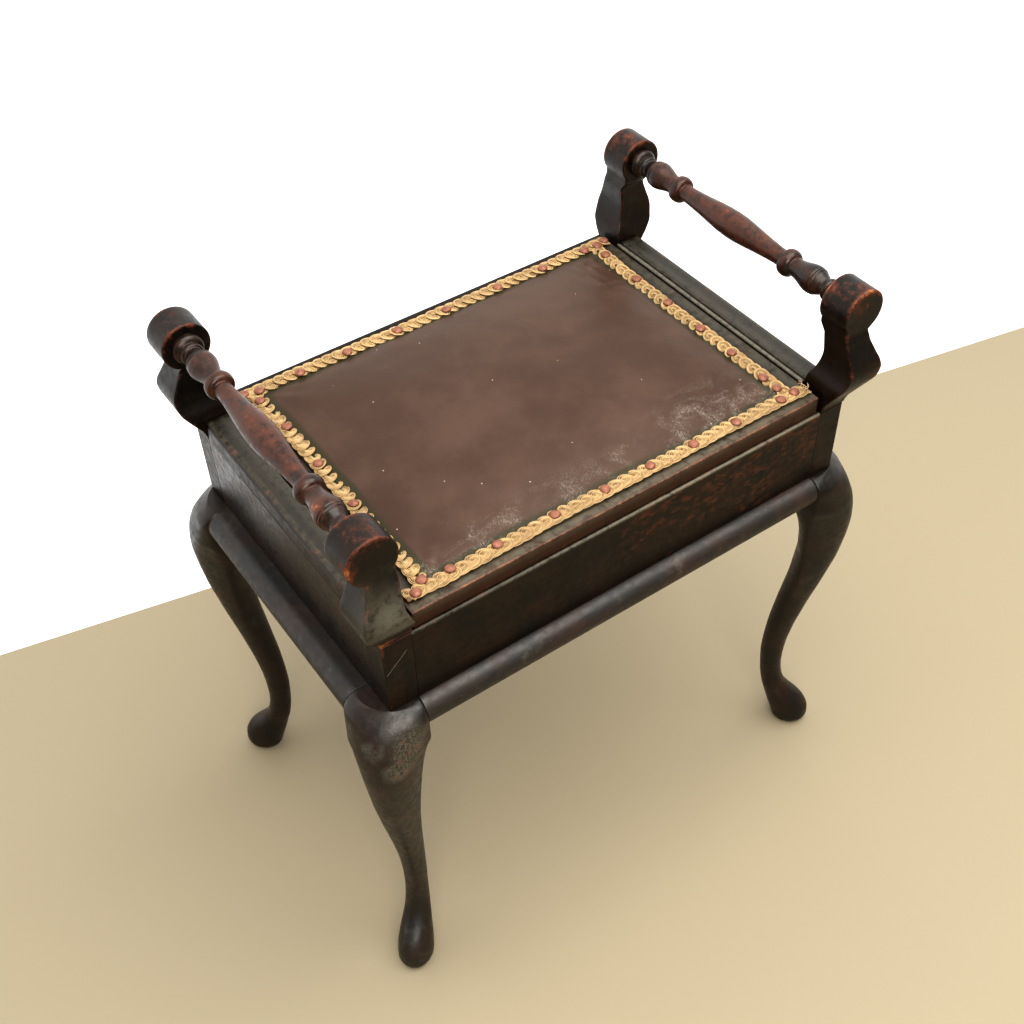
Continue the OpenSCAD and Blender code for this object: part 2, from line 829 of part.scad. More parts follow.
front_left_leg();
front_right_leg();
back_left_leg();
back_right_leg();
front_rail();
back_rail();
left_rail();
right_rail();
front_left_post();
front_right_post();
back_left_post();
back_right_post();
front_board();
back_board();
left_end_board();
right_end_board();
bottom_board();
front_cleat();
back_cleat();
left_cleat();
right_cleat();
left_end_cap();
right_end_cap();
box_screws();
front_left_upright();
front_right_upright();
back_left_upright();
back_right_upright();
upright_dowels();
left_handle();
right_handle();
left_hinge_box_leaf();
right_hinge_box_leaf();
left_hinge_pin();
right_hinge_pin();
hinge_box_screws();
lid_board();
left_hinge_lid_leaf();
right_hinge_lid_leaf();
hinge_lid_screws();
seat_stuffing();
seat_leather();
gimp_braid();
upholstery_nails();
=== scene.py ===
"""The looks of the piano bench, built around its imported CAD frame.

X is to the right, Y to the back and Z up, as in the frame.
"""
import math

import bmesh
import bpy
import numpy as np
from mathutils import Matrix, Vector, noise


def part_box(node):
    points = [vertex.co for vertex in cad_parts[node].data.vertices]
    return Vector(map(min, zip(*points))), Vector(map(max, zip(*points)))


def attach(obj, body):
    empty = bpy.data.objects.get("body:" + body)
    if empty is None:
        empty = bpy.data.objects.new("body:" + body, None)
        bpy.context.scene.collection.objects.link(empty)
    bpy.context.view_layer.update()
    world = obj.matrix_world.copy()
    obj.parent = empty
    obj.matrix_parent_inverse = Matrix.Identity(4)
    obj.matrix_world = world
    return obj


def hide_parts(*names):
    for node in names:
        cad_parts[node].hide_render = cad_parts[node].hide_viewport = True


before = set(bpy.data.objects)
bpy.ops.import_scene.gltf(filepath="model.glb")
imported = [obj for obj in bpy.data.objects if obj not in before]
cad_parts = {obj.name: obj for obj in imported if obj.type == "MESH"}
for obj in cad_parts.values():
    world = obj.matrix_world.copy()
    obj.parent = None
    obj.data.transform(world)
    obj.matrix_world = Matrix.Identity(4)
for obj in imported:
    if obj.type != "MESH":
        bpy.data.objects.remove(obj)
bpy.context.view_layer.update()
MM = 0.001
SIDES = (-1, 1)
ENDS = ((-1, "left"), (1, "right"))


def span(node):
    """The lowest and highest corner of a CAD node, in millimetres."""
    low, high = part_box(node)
    return np.array(low) / MM, np.array(high) / MM


POST_LOW, POST_HIGH = span("front_right_post")
HALF_W = POST_HIGH[0]
HALF_D = -POST_LOW[1]
POST = POST_HIGH[0] - POST_LOW[0]
BOX_Z0, BOX_Z1 = POST_LOW[2], POST_HIGH[2]
POST_X, POST_Y = HALF_W - POST / 2, HALF_D - POST / 2
BOARD_T = span("front_board")[1][1] - span("front_board")[0][1]

# ---- smooth curves ----


def eased(table, column, at, reach):
    """A table's column at a height, averaged over a short reach so that it bends smoothly."""
    heights = [row[0] for row in table]
    values = [row[column] for row in table]
    steps = np.linspace(-reach, reach, 9)
    weights = 1 - abs(steps) / (1.25 * reach)
    return float(np.average(np.interp(at + steps, heights, values), weights=weights))


def arc(cx, cy, r, start, stop, count):
    """Points on an arc; angles are in degrees."""
    angles = np.radians(np.linspace(start, stop, count + 1))
    return [(cx + r * math.cos(a), cy + r * math.sin(a)) for a in angles]


ARRIS_R = 4.0
JOINT_R = 1.1
FAR = 50.0
STEP = 5.0


def outline_of(corners):
    """A closed outline with rounded corners (x, y, radius), anticlockwise.

    Returns its points and each one's distance from the nearest exposed arris. A corner
    rounder than ARRIS_R isn't an arris, and one sharper than JOINT_R is hidden in a joint.
    """
    points, marks = [], []
    xy = [np.array(c[:2], float) for c in corners]
    count = len(corners)
    arcs = []
    for i in range(count):
        before = xy[i - 1] - xy[i]
        after = xy[(i + 1) % count] - xy[i]
        before, after = before / np.linalg.norm(before), after / np.linalg.norm(after)
        half = math.acos(np.clip(before @ after, -1, 1)) / 2
        r = corners[i][2]
        cut = r / math.tan(half)
        middle = before + after
        centre = xy[i] + middle / np.linalg.norm(middle) * r / math.sin(half)
        a0 = math.atan2(*(xy[i] + before * cut - centre)[::-1])
        a1 = math.atan2(*(xy[i] + after * cut - centre)[::-1])
        turn = (a1 - a0 + math.pi) % (2 * math.pi) - math.pi
        n = 4 if r < ARRIS_R else 14
        angles = [a0 + turn * k / n for k in range(n + 1)]
        arcs.append([centre + r * np.array((math.cos(a), math.sin(a))) for a in angles])
    worn = [JOINT_R < corner[2] < ARRIS_R for corner in corners]
    sharp = [xy[i] for i in range(count) if worn[i]]
    for i in range(count):
        points += arcs[i]
        marks += [0.0 if worn[i] else FAR] * len(arcs[i])
        a, b = arcs[i][-1], arcs[(i + 1) % count][0]
        length = np.linalg.norm(b - a)
        near = [d for d in (1.2, 3.2) if d < length / 2 - 0.5]
        start = near[-1] if near else 0
        inner = length - 2 * start
        parts = max(1, int(round(inner / STEP)))
        offsets = near + [start + inner * k / parts for k in range(1, parts)]
        for d in offsets + [length - d for d in reversed(near)]:
            points.append(a + (b - a) * d / length)
            marks.append(min([np.linalg.norm(points[-1] - p) for p in sharp] or [FAR]))
    return np.array(points), np.array(marks)


def normals_of(outline):
    """Outward normals of a closed anticlockwise outline."""
    along = np.roll(outline, -1, 0) - np.roll(outline, 1, 0)
    out = np.stack([along[:, 1], -along[:, 0]], 1)
    return out / np.linalg.norm(out, axis=1)[:, None]


def rounding(r):
    """Distance from an end, and inset, around a quarter circle of radius r."""
    return [(r * (1 - math.cos(a)), r * (1 - math.sin(a))) for a in np.radians((0, 22, 45, 68, 90))]


# ---- making pieces ----


def spot_values(points, spots):
    """How strongly each point is marked: the most that any round spot gives it.

    A spot is x, y, z, radius and strength.
    """
    value = np.zeros(len(points))
    for x, y, z, radius, strength in spots:
        d = np.linalg.norm(points - np.array((x, y, z)), axis=1) / radius
        value = np.maximum(value, strength * np.exp(-d * d))
    return value


def added(name, data):
    """A new object in the scene."""
    obj = bpy.data.objects.new(name, data)
    bpy.context.scene.collection.objects.link(obj)
    return obj


def give(mesh, name, values):
    """Stores one number per vertex under a name."""
    layer = mesh.attributes.get(name) or mesh.attributes.new(name, "FLOAT", "POINT")
    layer.data.foreach_set("value", np.asarray(values, np.float32))


def finish_piece(obj, body, material, nodes):
    """Gives a piece its material and its place in the frame."""
    obj.data.materials.clear()
    obj.data.materials.append(material)
    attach(obj, body)
    if nodes:
        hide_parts(*nodes)


def face_outwards(mesh, fill=False):
    """Turns the faces outwards, after filling any holes."""
    bm = bmesh.new()
    bm.from_mesh(mesh)
    if fill:
        bmesh.ops.holes_fill(bm, edges=[e for e in bm.edges if e.is_boundary], sides=0)
    bmesh.ops.recalc_face_normals(bm, faces=bm.faces)
    bm.to_mesh(mesh)
    bm.free()


def make(name, points, faces, flat_from=None):
    """A mesh object from points in millimetres, smooth but for the faces from flat_from on."""
    mesh = bpy.data.meshes.new(name)
    mesh.from_pydata([tuple(p * MM) for p in np.asarray(points, float)], [], faces)
    mesh.validate()
    smooth = [flat_from is None or i < flat_from for i in range(len(mesh.polygons))]
    mesh.polygons.foreach_set("use_smooth", smooth)
    face_outwards(mesh)
    return added(name, mesh)


def places_of(obj):
    """An object's vertices, in millimetres."""
    points = np.zeros(len(obj.data.vertices) * 3)
    obj.data.vertices.foreach_get("co", points)
    return points.reshape(-1, 3) / MM


def wood_marks(obj, arris, spots=(), seed=0.0, pale=(), fade=()):
    """Stores what the wood materials read.

    That is the distance from an arris, the rubbed, pale and faded places, and a number
    that shifts the grain.
    """
    points = places_of(obj)
    count = len(points)
    give(obj.data, "arris", arris)
    give(obj.data, "rub", spot_values(points, spots))
    give(obj.data, "pale", pale if len(pale) == count else spot_values(points, pale))
    give(obj.data, "fade", spot_values(points, fade))
    give(obj.data, "seed", np.full(count, seed))


def strips(rings, sides):
    """Quads between successive rings of points."""
    faces = []
    for k in range(rings - 1):
        for i in range(sides):
            j = (i + 1) % sides
            faces.append((k * sides + i, k * sides + j, (k + 1) * sides + j, (k + 1) * sides + i))
    return faces


def skin(rings, sides, base=0):
    """The faces over successive rings of points, which start at base, and over both ends."""
    ends = [range(sides), range((rings - 1) * sides, rings * sides)]
    return [tuple(base + i for i in face) for face in strips(rings, sides) + ends]


def loft(name, points, rings):
    """A smooth object over successive rings of points, with flat ends."""
    faces = skin(rings, len(points) // rings)
    return make(name, points, faces, len(faces) - 2)


END_INSETS = (5.0, 2.2)


def prism(name, corners, start, stop, place, end_r=0.6, open_ends=False):
    """An outline swept along a straight line, with softened ends. place(a, b, s) gives a point.

    Returns the object and its arris distances.
    """
    outline, marks = outline_of(corners)
    out = normals_of(outline)
    length = stop - start
    ends = [(0.0, inset) for inset in END_INSETS] + rounding(end_r)
    ends += [(end_r + 1.2, 0.0), (end_r + 3.2, 0.0)]
    reach = ends[-1][0]
    parts = max(2, int(round((length - 2 * reach) / STEP)))
    middle = [(reach + (length - 2 * reach) * k / parts, 0.0) for k in range(1, parts)]
    stations = ends + middle + [(length - s, inset) for s, inset in reversed(ends)]
    points, arris = [], []
    for s, inset in stations:
        points += [place(a, b, start + s) for a, b in outline - out * inset]
        from_end = FAR
        if open_ends:
            from_end = max((min(s, length - s) if inset <= end_r else inset) - end_r, 0)
        arris += list(np.minimum(marks, from_end))
    return loft(name, points, len(stations)), np.array(arris)


def ordered(corners, sign):
    """The corners anticlockwise, for a section that was drawn for the positive side."""
    return corners if sign > 0 else corners[::-1]


def along_x(a, b, s):
    return np.array((s, a, b))


def along_y(a, b, s):
    return np.array((a, s, b))


def cut_for_leaves(obj, kind, below, above):
    """Cuts the recesses of the hinge leaves of a kind out of the back of a piece."""
    for _, side in ENDS:
        low, high = span(f"{side}_hinge_{kind}_leaf")
        low, high = (low[0], low[1], below), (high[0], high[1] + 5, above)
        bm = bmesh.new()
        middle = Vector((np.array(low) + high) / 2 * MM)
        size = Vector((np.array(high) - low) * MM)
        bmesh.ops.create_cube(bm, size=1, matrix=Matrix.LocRotScale(middle, None, size))
        mesh = bpy.data.meshes.new("cutter")
        bm.to_mesh(mesh)
        bm.free()
        cutter = added("cutter", mesh)
        modifier = obj.modifiers.new("cut", "BOOLEAN")
        modifier.operation = "DIFFERENCE"
        modifier.object = cutter
        apply_modifiers(obj)
        bpy.data.objects.remove(cutter)


def apply_modifiers(obj):
    """Bakes a piece's modifiers into its mesh."""
    bpy.context.view_layer.update()
    evaluated = obj.evaluated_get(bpy.context.evaluated_depsgraph_get())
    mesh = bpy.data.meshes.new_from_object(evaluated)
    obj.modifiers.clear()
    obj.data = mesh


# ---- materials ----


class Shader:
    """A material under construction, with short calls for the nodes that it uses."""

    def __init__(self, name):
        self.material = bpy.data.materials.new(name)
        self.material.use_nodes = True
        self.nodes = self.material.node_tree.nodes
        self.links = self.material.node_tree.links
        self.bsdf = self.nodes["Principled BSDF"]
        coordinates = self.nodes.new("ShaderNodeTexCoord")
        self.place = self.scaled(coordinates.outputs["Object"], (1000, 1000, 1000))

    def put(self, socket, value):
        if isinstance(value, bpy.types.NodeSocket):
            self.links.new(value, socket)
        else:
            socket.default_value = value

    def node(self, kind, inputs, **settings):
        """A new node, with its settings, and its inputs by name or number."""
        node = self.nodes.new("ShaderNode" + kind)
        for name, value in settings.items():
            setattr(node, name, value)
        for key, value in inputs.items():
            self.put(node.inputs[key], value)
        return node

    def vector(self, operation, a, b):
        node = self.node("VectorMath", {0: a, 1: b}, operation=operation)
        return node.outputs["Value" if operation in ("LENGTH", "DISTANCE", "DOT_PRODUCT") else "Vector"]

    def scaled(self, a, factors):
        return self.vector("MULTIPLY", a, factors)

    def math(self, operation, a, b=0.0, clamp=False):
        return self.node("Math", {0: a, 1: b}, operation=operation, use_clamp=clamp).outputs[0]

    def times(self, a, b, clamp=False):
        return self.math("MULTIPLY", a, b, clamp)

    def plus(self, a, b, clamp=False):
        return self.math("ADD", a, b, clamp)

    def thrice(self, value):
        """The vector with a value on all three axes."""
        return self.node("CombineXYZ", {0: value, 1: value, 2: value}).outputs[0]

    def attribute(self, name):
        return self.node("Attribute", {}, attribute_name=name).outputs["Fac"]

    def noise(self, size, stretch=(1, 1, 1), detail=3.0, rough=0.55, twist=0.0, at=None):
        """Noise whose features are about size millimetres, drawn out by the stretch."""
        place = self.scaled(at or self.place, tuple(1 / (size * s) for s in stretch))
        return self.node("TexNoise", {"Vector": place, "Scale": 1.0, "Detail": detail, "Roughness": rough,
                                      "Distortion": twist}).outputs[0]

    def cells(self, size, feature="DISTANCE_TO_EDGE", at=None):
        """Distance in cells of size millimetres, to their edges or to their middles."""
        place = self.scaled(at or self.place, (1 / size,) * 3)
        return self.node("TexVoronoi", {"Vector": place, "Scale": 1.0}, feature=feature).outputs["Distance"]

    def step(self, value, low, high, to_low=0.0, to_high=1.0):
        """A smooth step of a value from low to high."""
        return self.node("MapRange", {"Value": value, "From Min": low, "From Max": high, "To Min": to_low,
                                      "To Max": to_high}, interpolation_type="SMOOTHSTEP").outputs["Result"]

    def mix(self, factor, a, b):
        a, b = ((*value, 1.0) if isinstance(value, tuple) else value for value in (a, b))
        return self.node("Mix", {0: factor, 6: a, 7: b}, data_type="RGBA").outputs[2]

    def tint(self, colour, other, factor, strength):
        """A colour mixed towards another by a factor times a strength."""
        return self.mix(self.times(factor, strength), colour, other)

    def near(self, spots, ragged=None):
        """1 near any of some places (x, y, z, radius) in millimetres, with a ragged outline."""
        total = 0.0
        for x, y, z, radius in spots:
            d = self.math("DIVIDE", self.vector("DISTANCE", self.place, (x, y, z)), radius)
            if ragged is not None:
                d = self.plus(d, ragged)
            total = self.math("MAXIMUM", self.step(d, 1.0, 0.45), total)
        return total

    def scratch(self, a, b, width):
        """1 along a scratch from a to b, in millimetres."""
        a, b = Vector(a), Vector(b)
        along = (b - a) / (b - a).length_squared
        from_a = self.vector("SUBTRACT", self.place, tuple(a))
        t = self.times(self.vector("DOT_PRODUCT", from_a, tuple(along)), 1.0, clamp=True)
        foot = self.scaled(self.thrice(t), tuple(b - a))
        off = self.vector("LENGTH", self.vector("SUBTRACT", from_a, foot), (0, 0, 0))
        return self.step(off, width, 0.3 * width)

    def bump(self, height, depth, below=None):
        """Relief of depth millimetres from a height of 0 to 1."""
        inputs = {"Strength": 1.0, "Distance": depth * MM, "Height": height}
        if below is not None:
            inputs["Normal"] = below
        return self.node("Bump", inputs).outputs[0]

    def done(self, colour, roughness, normal, metallic=0.0, specular=0.5):
        put, sockets = self.put, self.bsdf.inputs
        put(sockets["Base Color"], (*colour, 1.0) if isinstance(colour, tuple) else colour)
        put(sockets["Roughness"], roughness)
        put(sockets["Normal"], normal)
        put(sockets["Metallic"], metallic)
        sockets["Specular IOR Level"].default_value = specular
        return self.material


STRETCH = {"X": (14, 1, 1), "Y": (1, 14, 1), "Z": (1, 1, 14)}
EBONY = (0.0050, 0.0037, 0.0020)
EBONY_BROWN = (0.036, 0.0115, 0.0042)
MAHOGANY = (0.095, 0.026, 0.011)
BARE = (0.350, 0.135, 0.058)
DUST_AND_SHEEN = (0.230, 0.215, 0.165)
STAIN = (0.085, 0.024, 0.0085)


def shade(colour, factor):
    return tuple(factor * c for c in colour)


def polished_wood(name, grain, brown=0.35, wear=1.0, dust_and_sheen=0.5, rough=0.40, shine=0.36, soft=0.0,
                  crackle=None, stains=None, marks=()):
    """Black-stained mahogany under old polish, rubbed through to red-brown in places.

    brown is how much the stain has faded, crackle and stains are places (x, y, z, radius),
    and marks are scratches (from, to, width). soft blurs the limits of the rubbed places.
    """
    s = Shader(name)
    offset = s.times(s.attribute("seed"), 137.0)
    own = s.vector("ADD", s.place, s.thrice(offset))
    fine_grain = s.noise(1.1, STRETCH[grain], detail=4, rough=0.6, at=own)
    broad_grain = s.noise(9, STRETCH[grain], detail=3, twist=0.6, at=own)
    patches = s.noise(38, detail=4, rough=0.6, at=own)
    mottling = s.noise(7, detail=5, rough=0.65, at=own)
    speckle = s.noise(1.6, detail=3, rough=0.7, at=own)

    faded = s.times(s.step(patches, 0.40, 0.66), brown)
    faded = s.plus(faded, s.times(s.step(broad_grain, 0.42, 0.72), 0.6 * brown))
    faded = s.plus(faded, s.attribute("fade"), clamp=True)
    colour = s.mix(faded, EBONY, EBONY_BROWN)
    colour = s.tint(colour, shade(EBONY, 0.4), s.step(fine_grain, 0.55, 0.30), 0.6)

    if stains:
        where = s.near(stains, s.times(s.math("SUBTRACT", patches, 0.5), 2.4))
        broken = s.step(s.noise(5, (2.2, 1, 1), detail=6, rough=0.68, at=own), 0.47, 0.66)
        colour = s.tint(colour, STAIN, s.times(where, broken), 0.8)

    # Rubbed places: arrises and hot spots, broken up by the noise.
    closeness = s.step(s.attribute("arris"), 3.0, 0.0)
    rubbed = s.plus(s.times(closeness, 0.27 * wear), s.attribute("rub"))
    ragged = s.plus(s.times(mottling, 1.15), s.times(speckle, 0.30))
    level = s.plus(rubbed, s.math("SUBTRACT", ragged, 1.06))
    colour = s.mix(s.step(level, -0.10 - soft, 0.16 + soft), colour, MAHOGANY)
    bare = s.mix(s.step(fine_grain, 0.35, 0.65), shade(BARE, 0.5), BARE)
    colour = s.mix(s.step(level, 0.16, 0.36), colour, bare)

    # Pale places (wear, and on some pieces a painted highlight and sheen), a dust bloom that also paints
    # sheen, and small pale knocks.
    pale = s.times(s.attribute("pale"), s.step(mottling, 0.30, 0.55, 0.35, 1.0))
    colour = s.mix(pale, colour, DUST_AND_SHEEN)
    dust_bloom_and_sheen = s.step(s.noise(24, detail=6, rough=0.7, at=own), 0.54, 0.78)
    colour = s.tint(colour, DUST_AND_SHEEN, dust_bloom_and_sheen, 0.10 * dust_and_sheen)
    colour = s.tint(colour, DUST_AND_SHEEN, s.step(s.cells(7.5, "F1", at=own), 0.050, 0.025), 0.35 * dust_and_sheen)

    height = s.times(fine_grain, 0.6)
    roughness = s.plus(s.times(s.step(mottling, 0.3, 0.7), 0.18), rough - 0.09)
    roughness = s.plus(roughness, s.times(s.step(level, -0.1, 0.3), 0.15), clamp=True)
    if crackle:
        ripple = s.thrice(s.times(s.noise(6, detail=2, at=own), 5.0))
        cracks = s.step(s.cells(3.0, at=s.vector("ADD", own, ripple)), 0.10, 0.03)
        where = s.near(crackle, s.times(s.math("SUBTRACT", patches, 0.5), 2.2))
        cracks = s.times(cracks, where)
        colour = s.mix(s.times(where, s.step(speckle, 0.30, 0.65, 0.20, 0.34)), colour, DUST_AND_SHEEN)
        red = s.times(s.step(where, 0.7, 1.0), s.step(s.noise(12, detail=3, at=own), 0.53, 0.60))
        colour = s.mix(cracks, colour, s.mix(red, shade(EBONY, 0.6), shade(MAHOGANY, 1.3)))
        height = s.math("SUBTRACT", height, s.times(cracks, 1.4))
    for a, b, width in marks:
        colour = s.tint(colour, DUST_AND_SHEEN, s.times(s.scratch(a, b, width), s.step(speckle, 0.30, 0.5)), 0.8)
    return s.done(colour, roughness, s.bump(height, 0.12), specular=shine)


def pine():
    """Plain unfinished softwood, browned with age."""
    s = Shader("aged_pine")
    grain = s.noise(2.2, STRETCH["X"], detail=4)
    rings = s.noise(14, STRETCH["X"], detail=2, twist=1.5)
    colour = s.mix(s.step(rings, 0.4, 0.6), (0.30, 0.17, 0.085), (0.42, 0.27, 0.14))
    colour = s.tint(colour, (0.20, 0.11, 0.055), s.step(grain, 0.6, 0.3), 0.5)
    colour = s.tint(colour, (0.12, 0.08, 0.05), s.noise(45, detail=5), 0.35)
    return s.done(colour, s.step(grain, 0.2, 0.8, 0.65, 0.85), s.bump(grain, 0.15))


def brass():
    """Tarnished brass."""
    s = Shader("tarnished_brass")
    cloud = s.noise(6, detail=5, rough=0.7)
    brushed = s.noise(0.5, (20, 1, 1), detail=2)
    colour = s.mix(s.step(cloud, 0.35, 0.65), (0.42, 0.27, 0.10), (0.16, 0.10, 0.05))
    return s.done(colour, s.step(cloud, 0.3, 0.7, 0.32, 0.55), s.bump(brushed, 0.03), metallic=0.9)


def steel():
    """Dull old screw steel."""
    s = Shader("screw_steel")
    cloud = s.noise(2.5, detail=5, rough=0.7)
    colour = s.mix(s.step(cloud, 0.45, 0.7), (0.20, 0.19, 0.18), (0.11, 0.055, 0.03))
    return s.done(colour, s.step(cloud, 0.3, 0.7, 0.35, 0.7), s.bump(cloud, 0.05), metallic=0.85)


def copper():
    """Lacquered upholstery nails, worn to a dull red-brown."""
    s = Shader("nail_heads")
    cloud = s.noise(3.0, detail=5, rough=0.7)
    fine = s.noise(0.7, detail=3, rough=0.6)
    colour = s.mix(s.step(cloud, 0.40, 0.62), (0.25, 0.106, 0.066), (0.175, 0.069, 0.044))
    colour = s.tint(colour, (0.62, 0.36, 0.22), s.step(fine, 0.60, 0.72), 0.5)
    colour = s.tint(colour, (0.075, 0.030, 0.018), s.attribute("rim"), 0.75)
    return s.done(colour, s.step(cloud, 0.3, 0.7, 0.38, 0.58), s.bump(cloud, 0.12), metallic=0.2)


def leather():
    """Old brown leather: fine grain, creases, dark edges, pale scuffs and nicks."""
    s = Shader("seat_leather")
    grain = s.cells(1.5, "SMOOTH_F1")
    fold = s.noise(16, (1, 2.2, 1), detail=6, rough=0.62, twist=0.5)
    cloud = s.noise(70, detail=5, rough=0.6)
    fine = s.noise(2.4, detail=5, rough=0.7)
    colour = s.mix(s.step(cloud, 0.35, 0.68), (0.062, 0.037, 0.0275), (0.082, 0.0515, 0.0385))
    colour = s.tint(colour, (0.036, 0.020, 0.015), s.step(fine, 0.55, 0.8), 0.35)
    margin = s.step(s.plus(s.attribute("edge"), s.times(cloud, 0.5)), 0.72, 1.1)
    colour = s.tint(colour, (0.036, 0.035, 0.019), margin, 0.85)
    frost = s.step(s.noise(1.1, (1, 2.6, 1), detail=6, rough=0.72), 0.42, 0.68)
    drift = s.step(s.noise(24, (1.3, 1, 1), detail=6, rough=0.62, twist=0.8), 0.42, 0.68)
    scuffed = s.times(frost, s.times(drift, s.attribute("scuff")), clamp=True)
    colour = s.tint(colour, (0.36, 0.33, 0.29), scuffed, 0.62)
    colour = s.tint(colour, (0.45, 0.40, 0.34), s.step(s.cells(23, "F1"), 0.040, 0.018), 0.7)
    rough = s.plus(s.step(cloud, 0.3, 0.7, 0.34, 0.46), s.times(scuffed, 0.2))
    relief = s.bump(grain, 0.10, s.bump(fold, 0.35))
    return s.done(colour, rough, s.bump(fine, 0.05, relief), specular=0.14)


def straw(name, light, dark):
    """Golden straw-coloured thread, dirty in places, with fine ridges."""
    s = Shader(name)
    twist = s.noise(0.5, detail=2)
    cloud = s.noise(26, detail=4, rough=0.6)
    dirt = s.noise(4, detail=4, rough=0.6)
    colour = s.mix(s.step(cloud, 0.35, 0.7), light, shade(light, 0.78))
    colour = s.tint(colour, dark, s.step(dirt, 0.52, 0.75), 0.6)
    colour = s.tint(colour, dark, s.step(twist, 0.5, 0.3), 0.35)
    colour = s.tint(colour, dark, s.attribute("shade"), 0.60)
    return s.done(colour, 0.62, s.bump(twist, 0.25))


# ---- legs ----

KNEE_HALF = 26.0
KNEE_BACK = 14.5
FOOT_X, FOOT_Y = HALF_W + 13.0, HALF_D + 3.0
RAIL_R = 15.0
RAIL_MID = BOX_Z0 - RAIL_R
BLOCK_MID = -KNEE_BACK * math.sqrt(2)
KNEE_CORNER = KNEE_HALF * math.sqrt(2)
BLOCK_FROM, BLOCK_TOP = 367.0, 393.0

# Height, where BLOCK_TOP is the middle of the rails, then along the diagonal outwards through
# the foot: outer reach, inner reach, place of the widest point, half the width there,
# roundness, squareness of the back.
LEG = [
    (0, 10, -18, -4, 12.5, 2, 0), (3, 15.5, -23, -4, 16.5, 2, 0), (9, 17.5, -25, -4, 18.4, 2, 0),
    (20, 16.5, -28.5, -7, 18.2, 2, 0), (30, 12, -32, -11, 17.4, 2, 0), (38, 6, -34.5, -15, 16.2, 2, 0),
    (48, -5.5, -37.5, -21.5, 14.6, 2, 0), (59, -15, -41, -28, 13, 2, 0),
    (76, -20.3, -44.2, -32.3, 11.9, 2, 0), (94, -22.6, -46, -34.3, 11.4, 2, 0),
    (114, -22.4, -47.4, -35, 11.6, 2, 0), (136, -20.8, -46.8, -34, 12, 2, 0),
    (166, -15.7, -44.3, -31, 13.2, 2, 0), (205, -6.6, -38.6, -25, 15.5, 2, 0),
    (243, 3.8, -31.8, -20.5, 18.4, 2, 0), (284, 14, -27.5, -20, 22, 2, 0),
    (315, 18.4, -29.5, -21, 25.4, 2, 0.05), (337, 20.1, -34.5, -21.2, 28.6, 1.95, 0.2),
    (356, 18.8, -45, -20.8, 33, 1.8, 0.7), (370, 15.9, -57.3, -20.5, 36.8, 1.65, 1),
    (385, 9.8, -57.3, -20.5, 36.8, 1.65, 1), (393, 4, -57.3, -20.5, 36.8, 1.8, 1),
    (398, -0.9, -57.3, -21.1, 36.2, 1.9, 1), (408, -12, -57.3, -31.1, 26.2, 1.9, 1),
]
LEG_SIDES = 72


def leg_ring(z, outer, inner, mid, half, roundness, square):
    """One ring of a leg, in the measures of LEG."""
    ring = []
    for a in np.arange(LEG_SIDES) * 2 * math.pi / LEG_SIDES:
        c, s = math.cos(a), math.sin(a)
        depth, n = (outer - mid, roundness) if c > 0 else (mid - inner, 2 - square)
        r = ((abs(c) / depth) ** n + (abs(s) / half) ** n) ** (-1 / n)
        along, across = mid + r * c, r * s
        ring.append(((along - across) / math.sqrt(2), (along + across) / math.sqrt(2), z))
    return ring


def leg_rings():
    """The rings of a leg from the floor to the top of its knee block."""
    rings = []
    heights = list(np.arange(0, 12, 1.2)) + list(np.arange(12, 60, 2.0)) + list(np.arange(60, 364, 3.2))
    for h in heights:
        reach = 1.0 + 8.0 * min(1.0, h / 70)
        rings.append(leg_ring(h * RAIL_MID / BLOCK_TOP, *(eased(LEG, c, h, reach) for c in range(1, 7))))
    back = BLOCK_MID - KNEE_CORNER
    for h in np.linspace(BLOCK_FROM, BLOCK_TOP, 9):
        outer, roundness = eased(LEG, 1, h, 4.0), eased(LEG, 5, h, 4.0)
        rings.append(leg_ring(RAIL_MID - (BLOCK_TOP - h), outer, back, BLOCK_MID, KNEE_CORNER, roundness, 1))
    for a in np.radians(np.arange(9, 91, 9)):
        shift = RAIL_R * (1 - math.cos(a)) / math.sqrt(2)
        outer = eased(LEG, 1, BLOCK_TOP + RAIL_R * math.sin(a), 3.0)
        rings.append(leg_ring(RAIL_MID + RAIL_R * math.sin(a), outer, back, BLOCK_MID - shift,
                              KNEE_CORNER - shift, 1.9, 1))
    return rings


def leg(sx, sy, name, material, spots, seed):
    """A cabriole leg with its knee block, which fits between two rails."""
    rings = leg_rings()
    points = np.array([p for ring in rings for p in ring])
    points[:, 0] = sx * (points[:, 0] + FOOT_X)
    points[:, 1] = sy * (points[:, 1] + FOOT_Y)
    obj = loft(f"{name}_leg_turned", points, len(rings))
    block = points[:, 2] > RAIL_MID - 10
    edge = np.minimum(abs(abs(points[:, 0]) - RAIL_END_X), abs(abs(points[:, 1]) - RAIL_END_Y))
    wood_marks(obj, np.where(block, edge + 1.5, FAR), spots, seed)
    finish_piece(obj, "frame", material, [f"{name}_leg"])


KNEE_X, KNEE_Y = FOOT_X - KNEE_BACK, FOOT_Y - KNEE_BACK
RAIL_END_X, RAIL_END_Y = KNEE_X - KNEE_HALF, KNEE_Y - KNEE_HALF
RAIL_OUT_X, RAIL_OUT_Y = KNEE_X + KNEE_HALF, KNEE_Y + KNEE_HALF
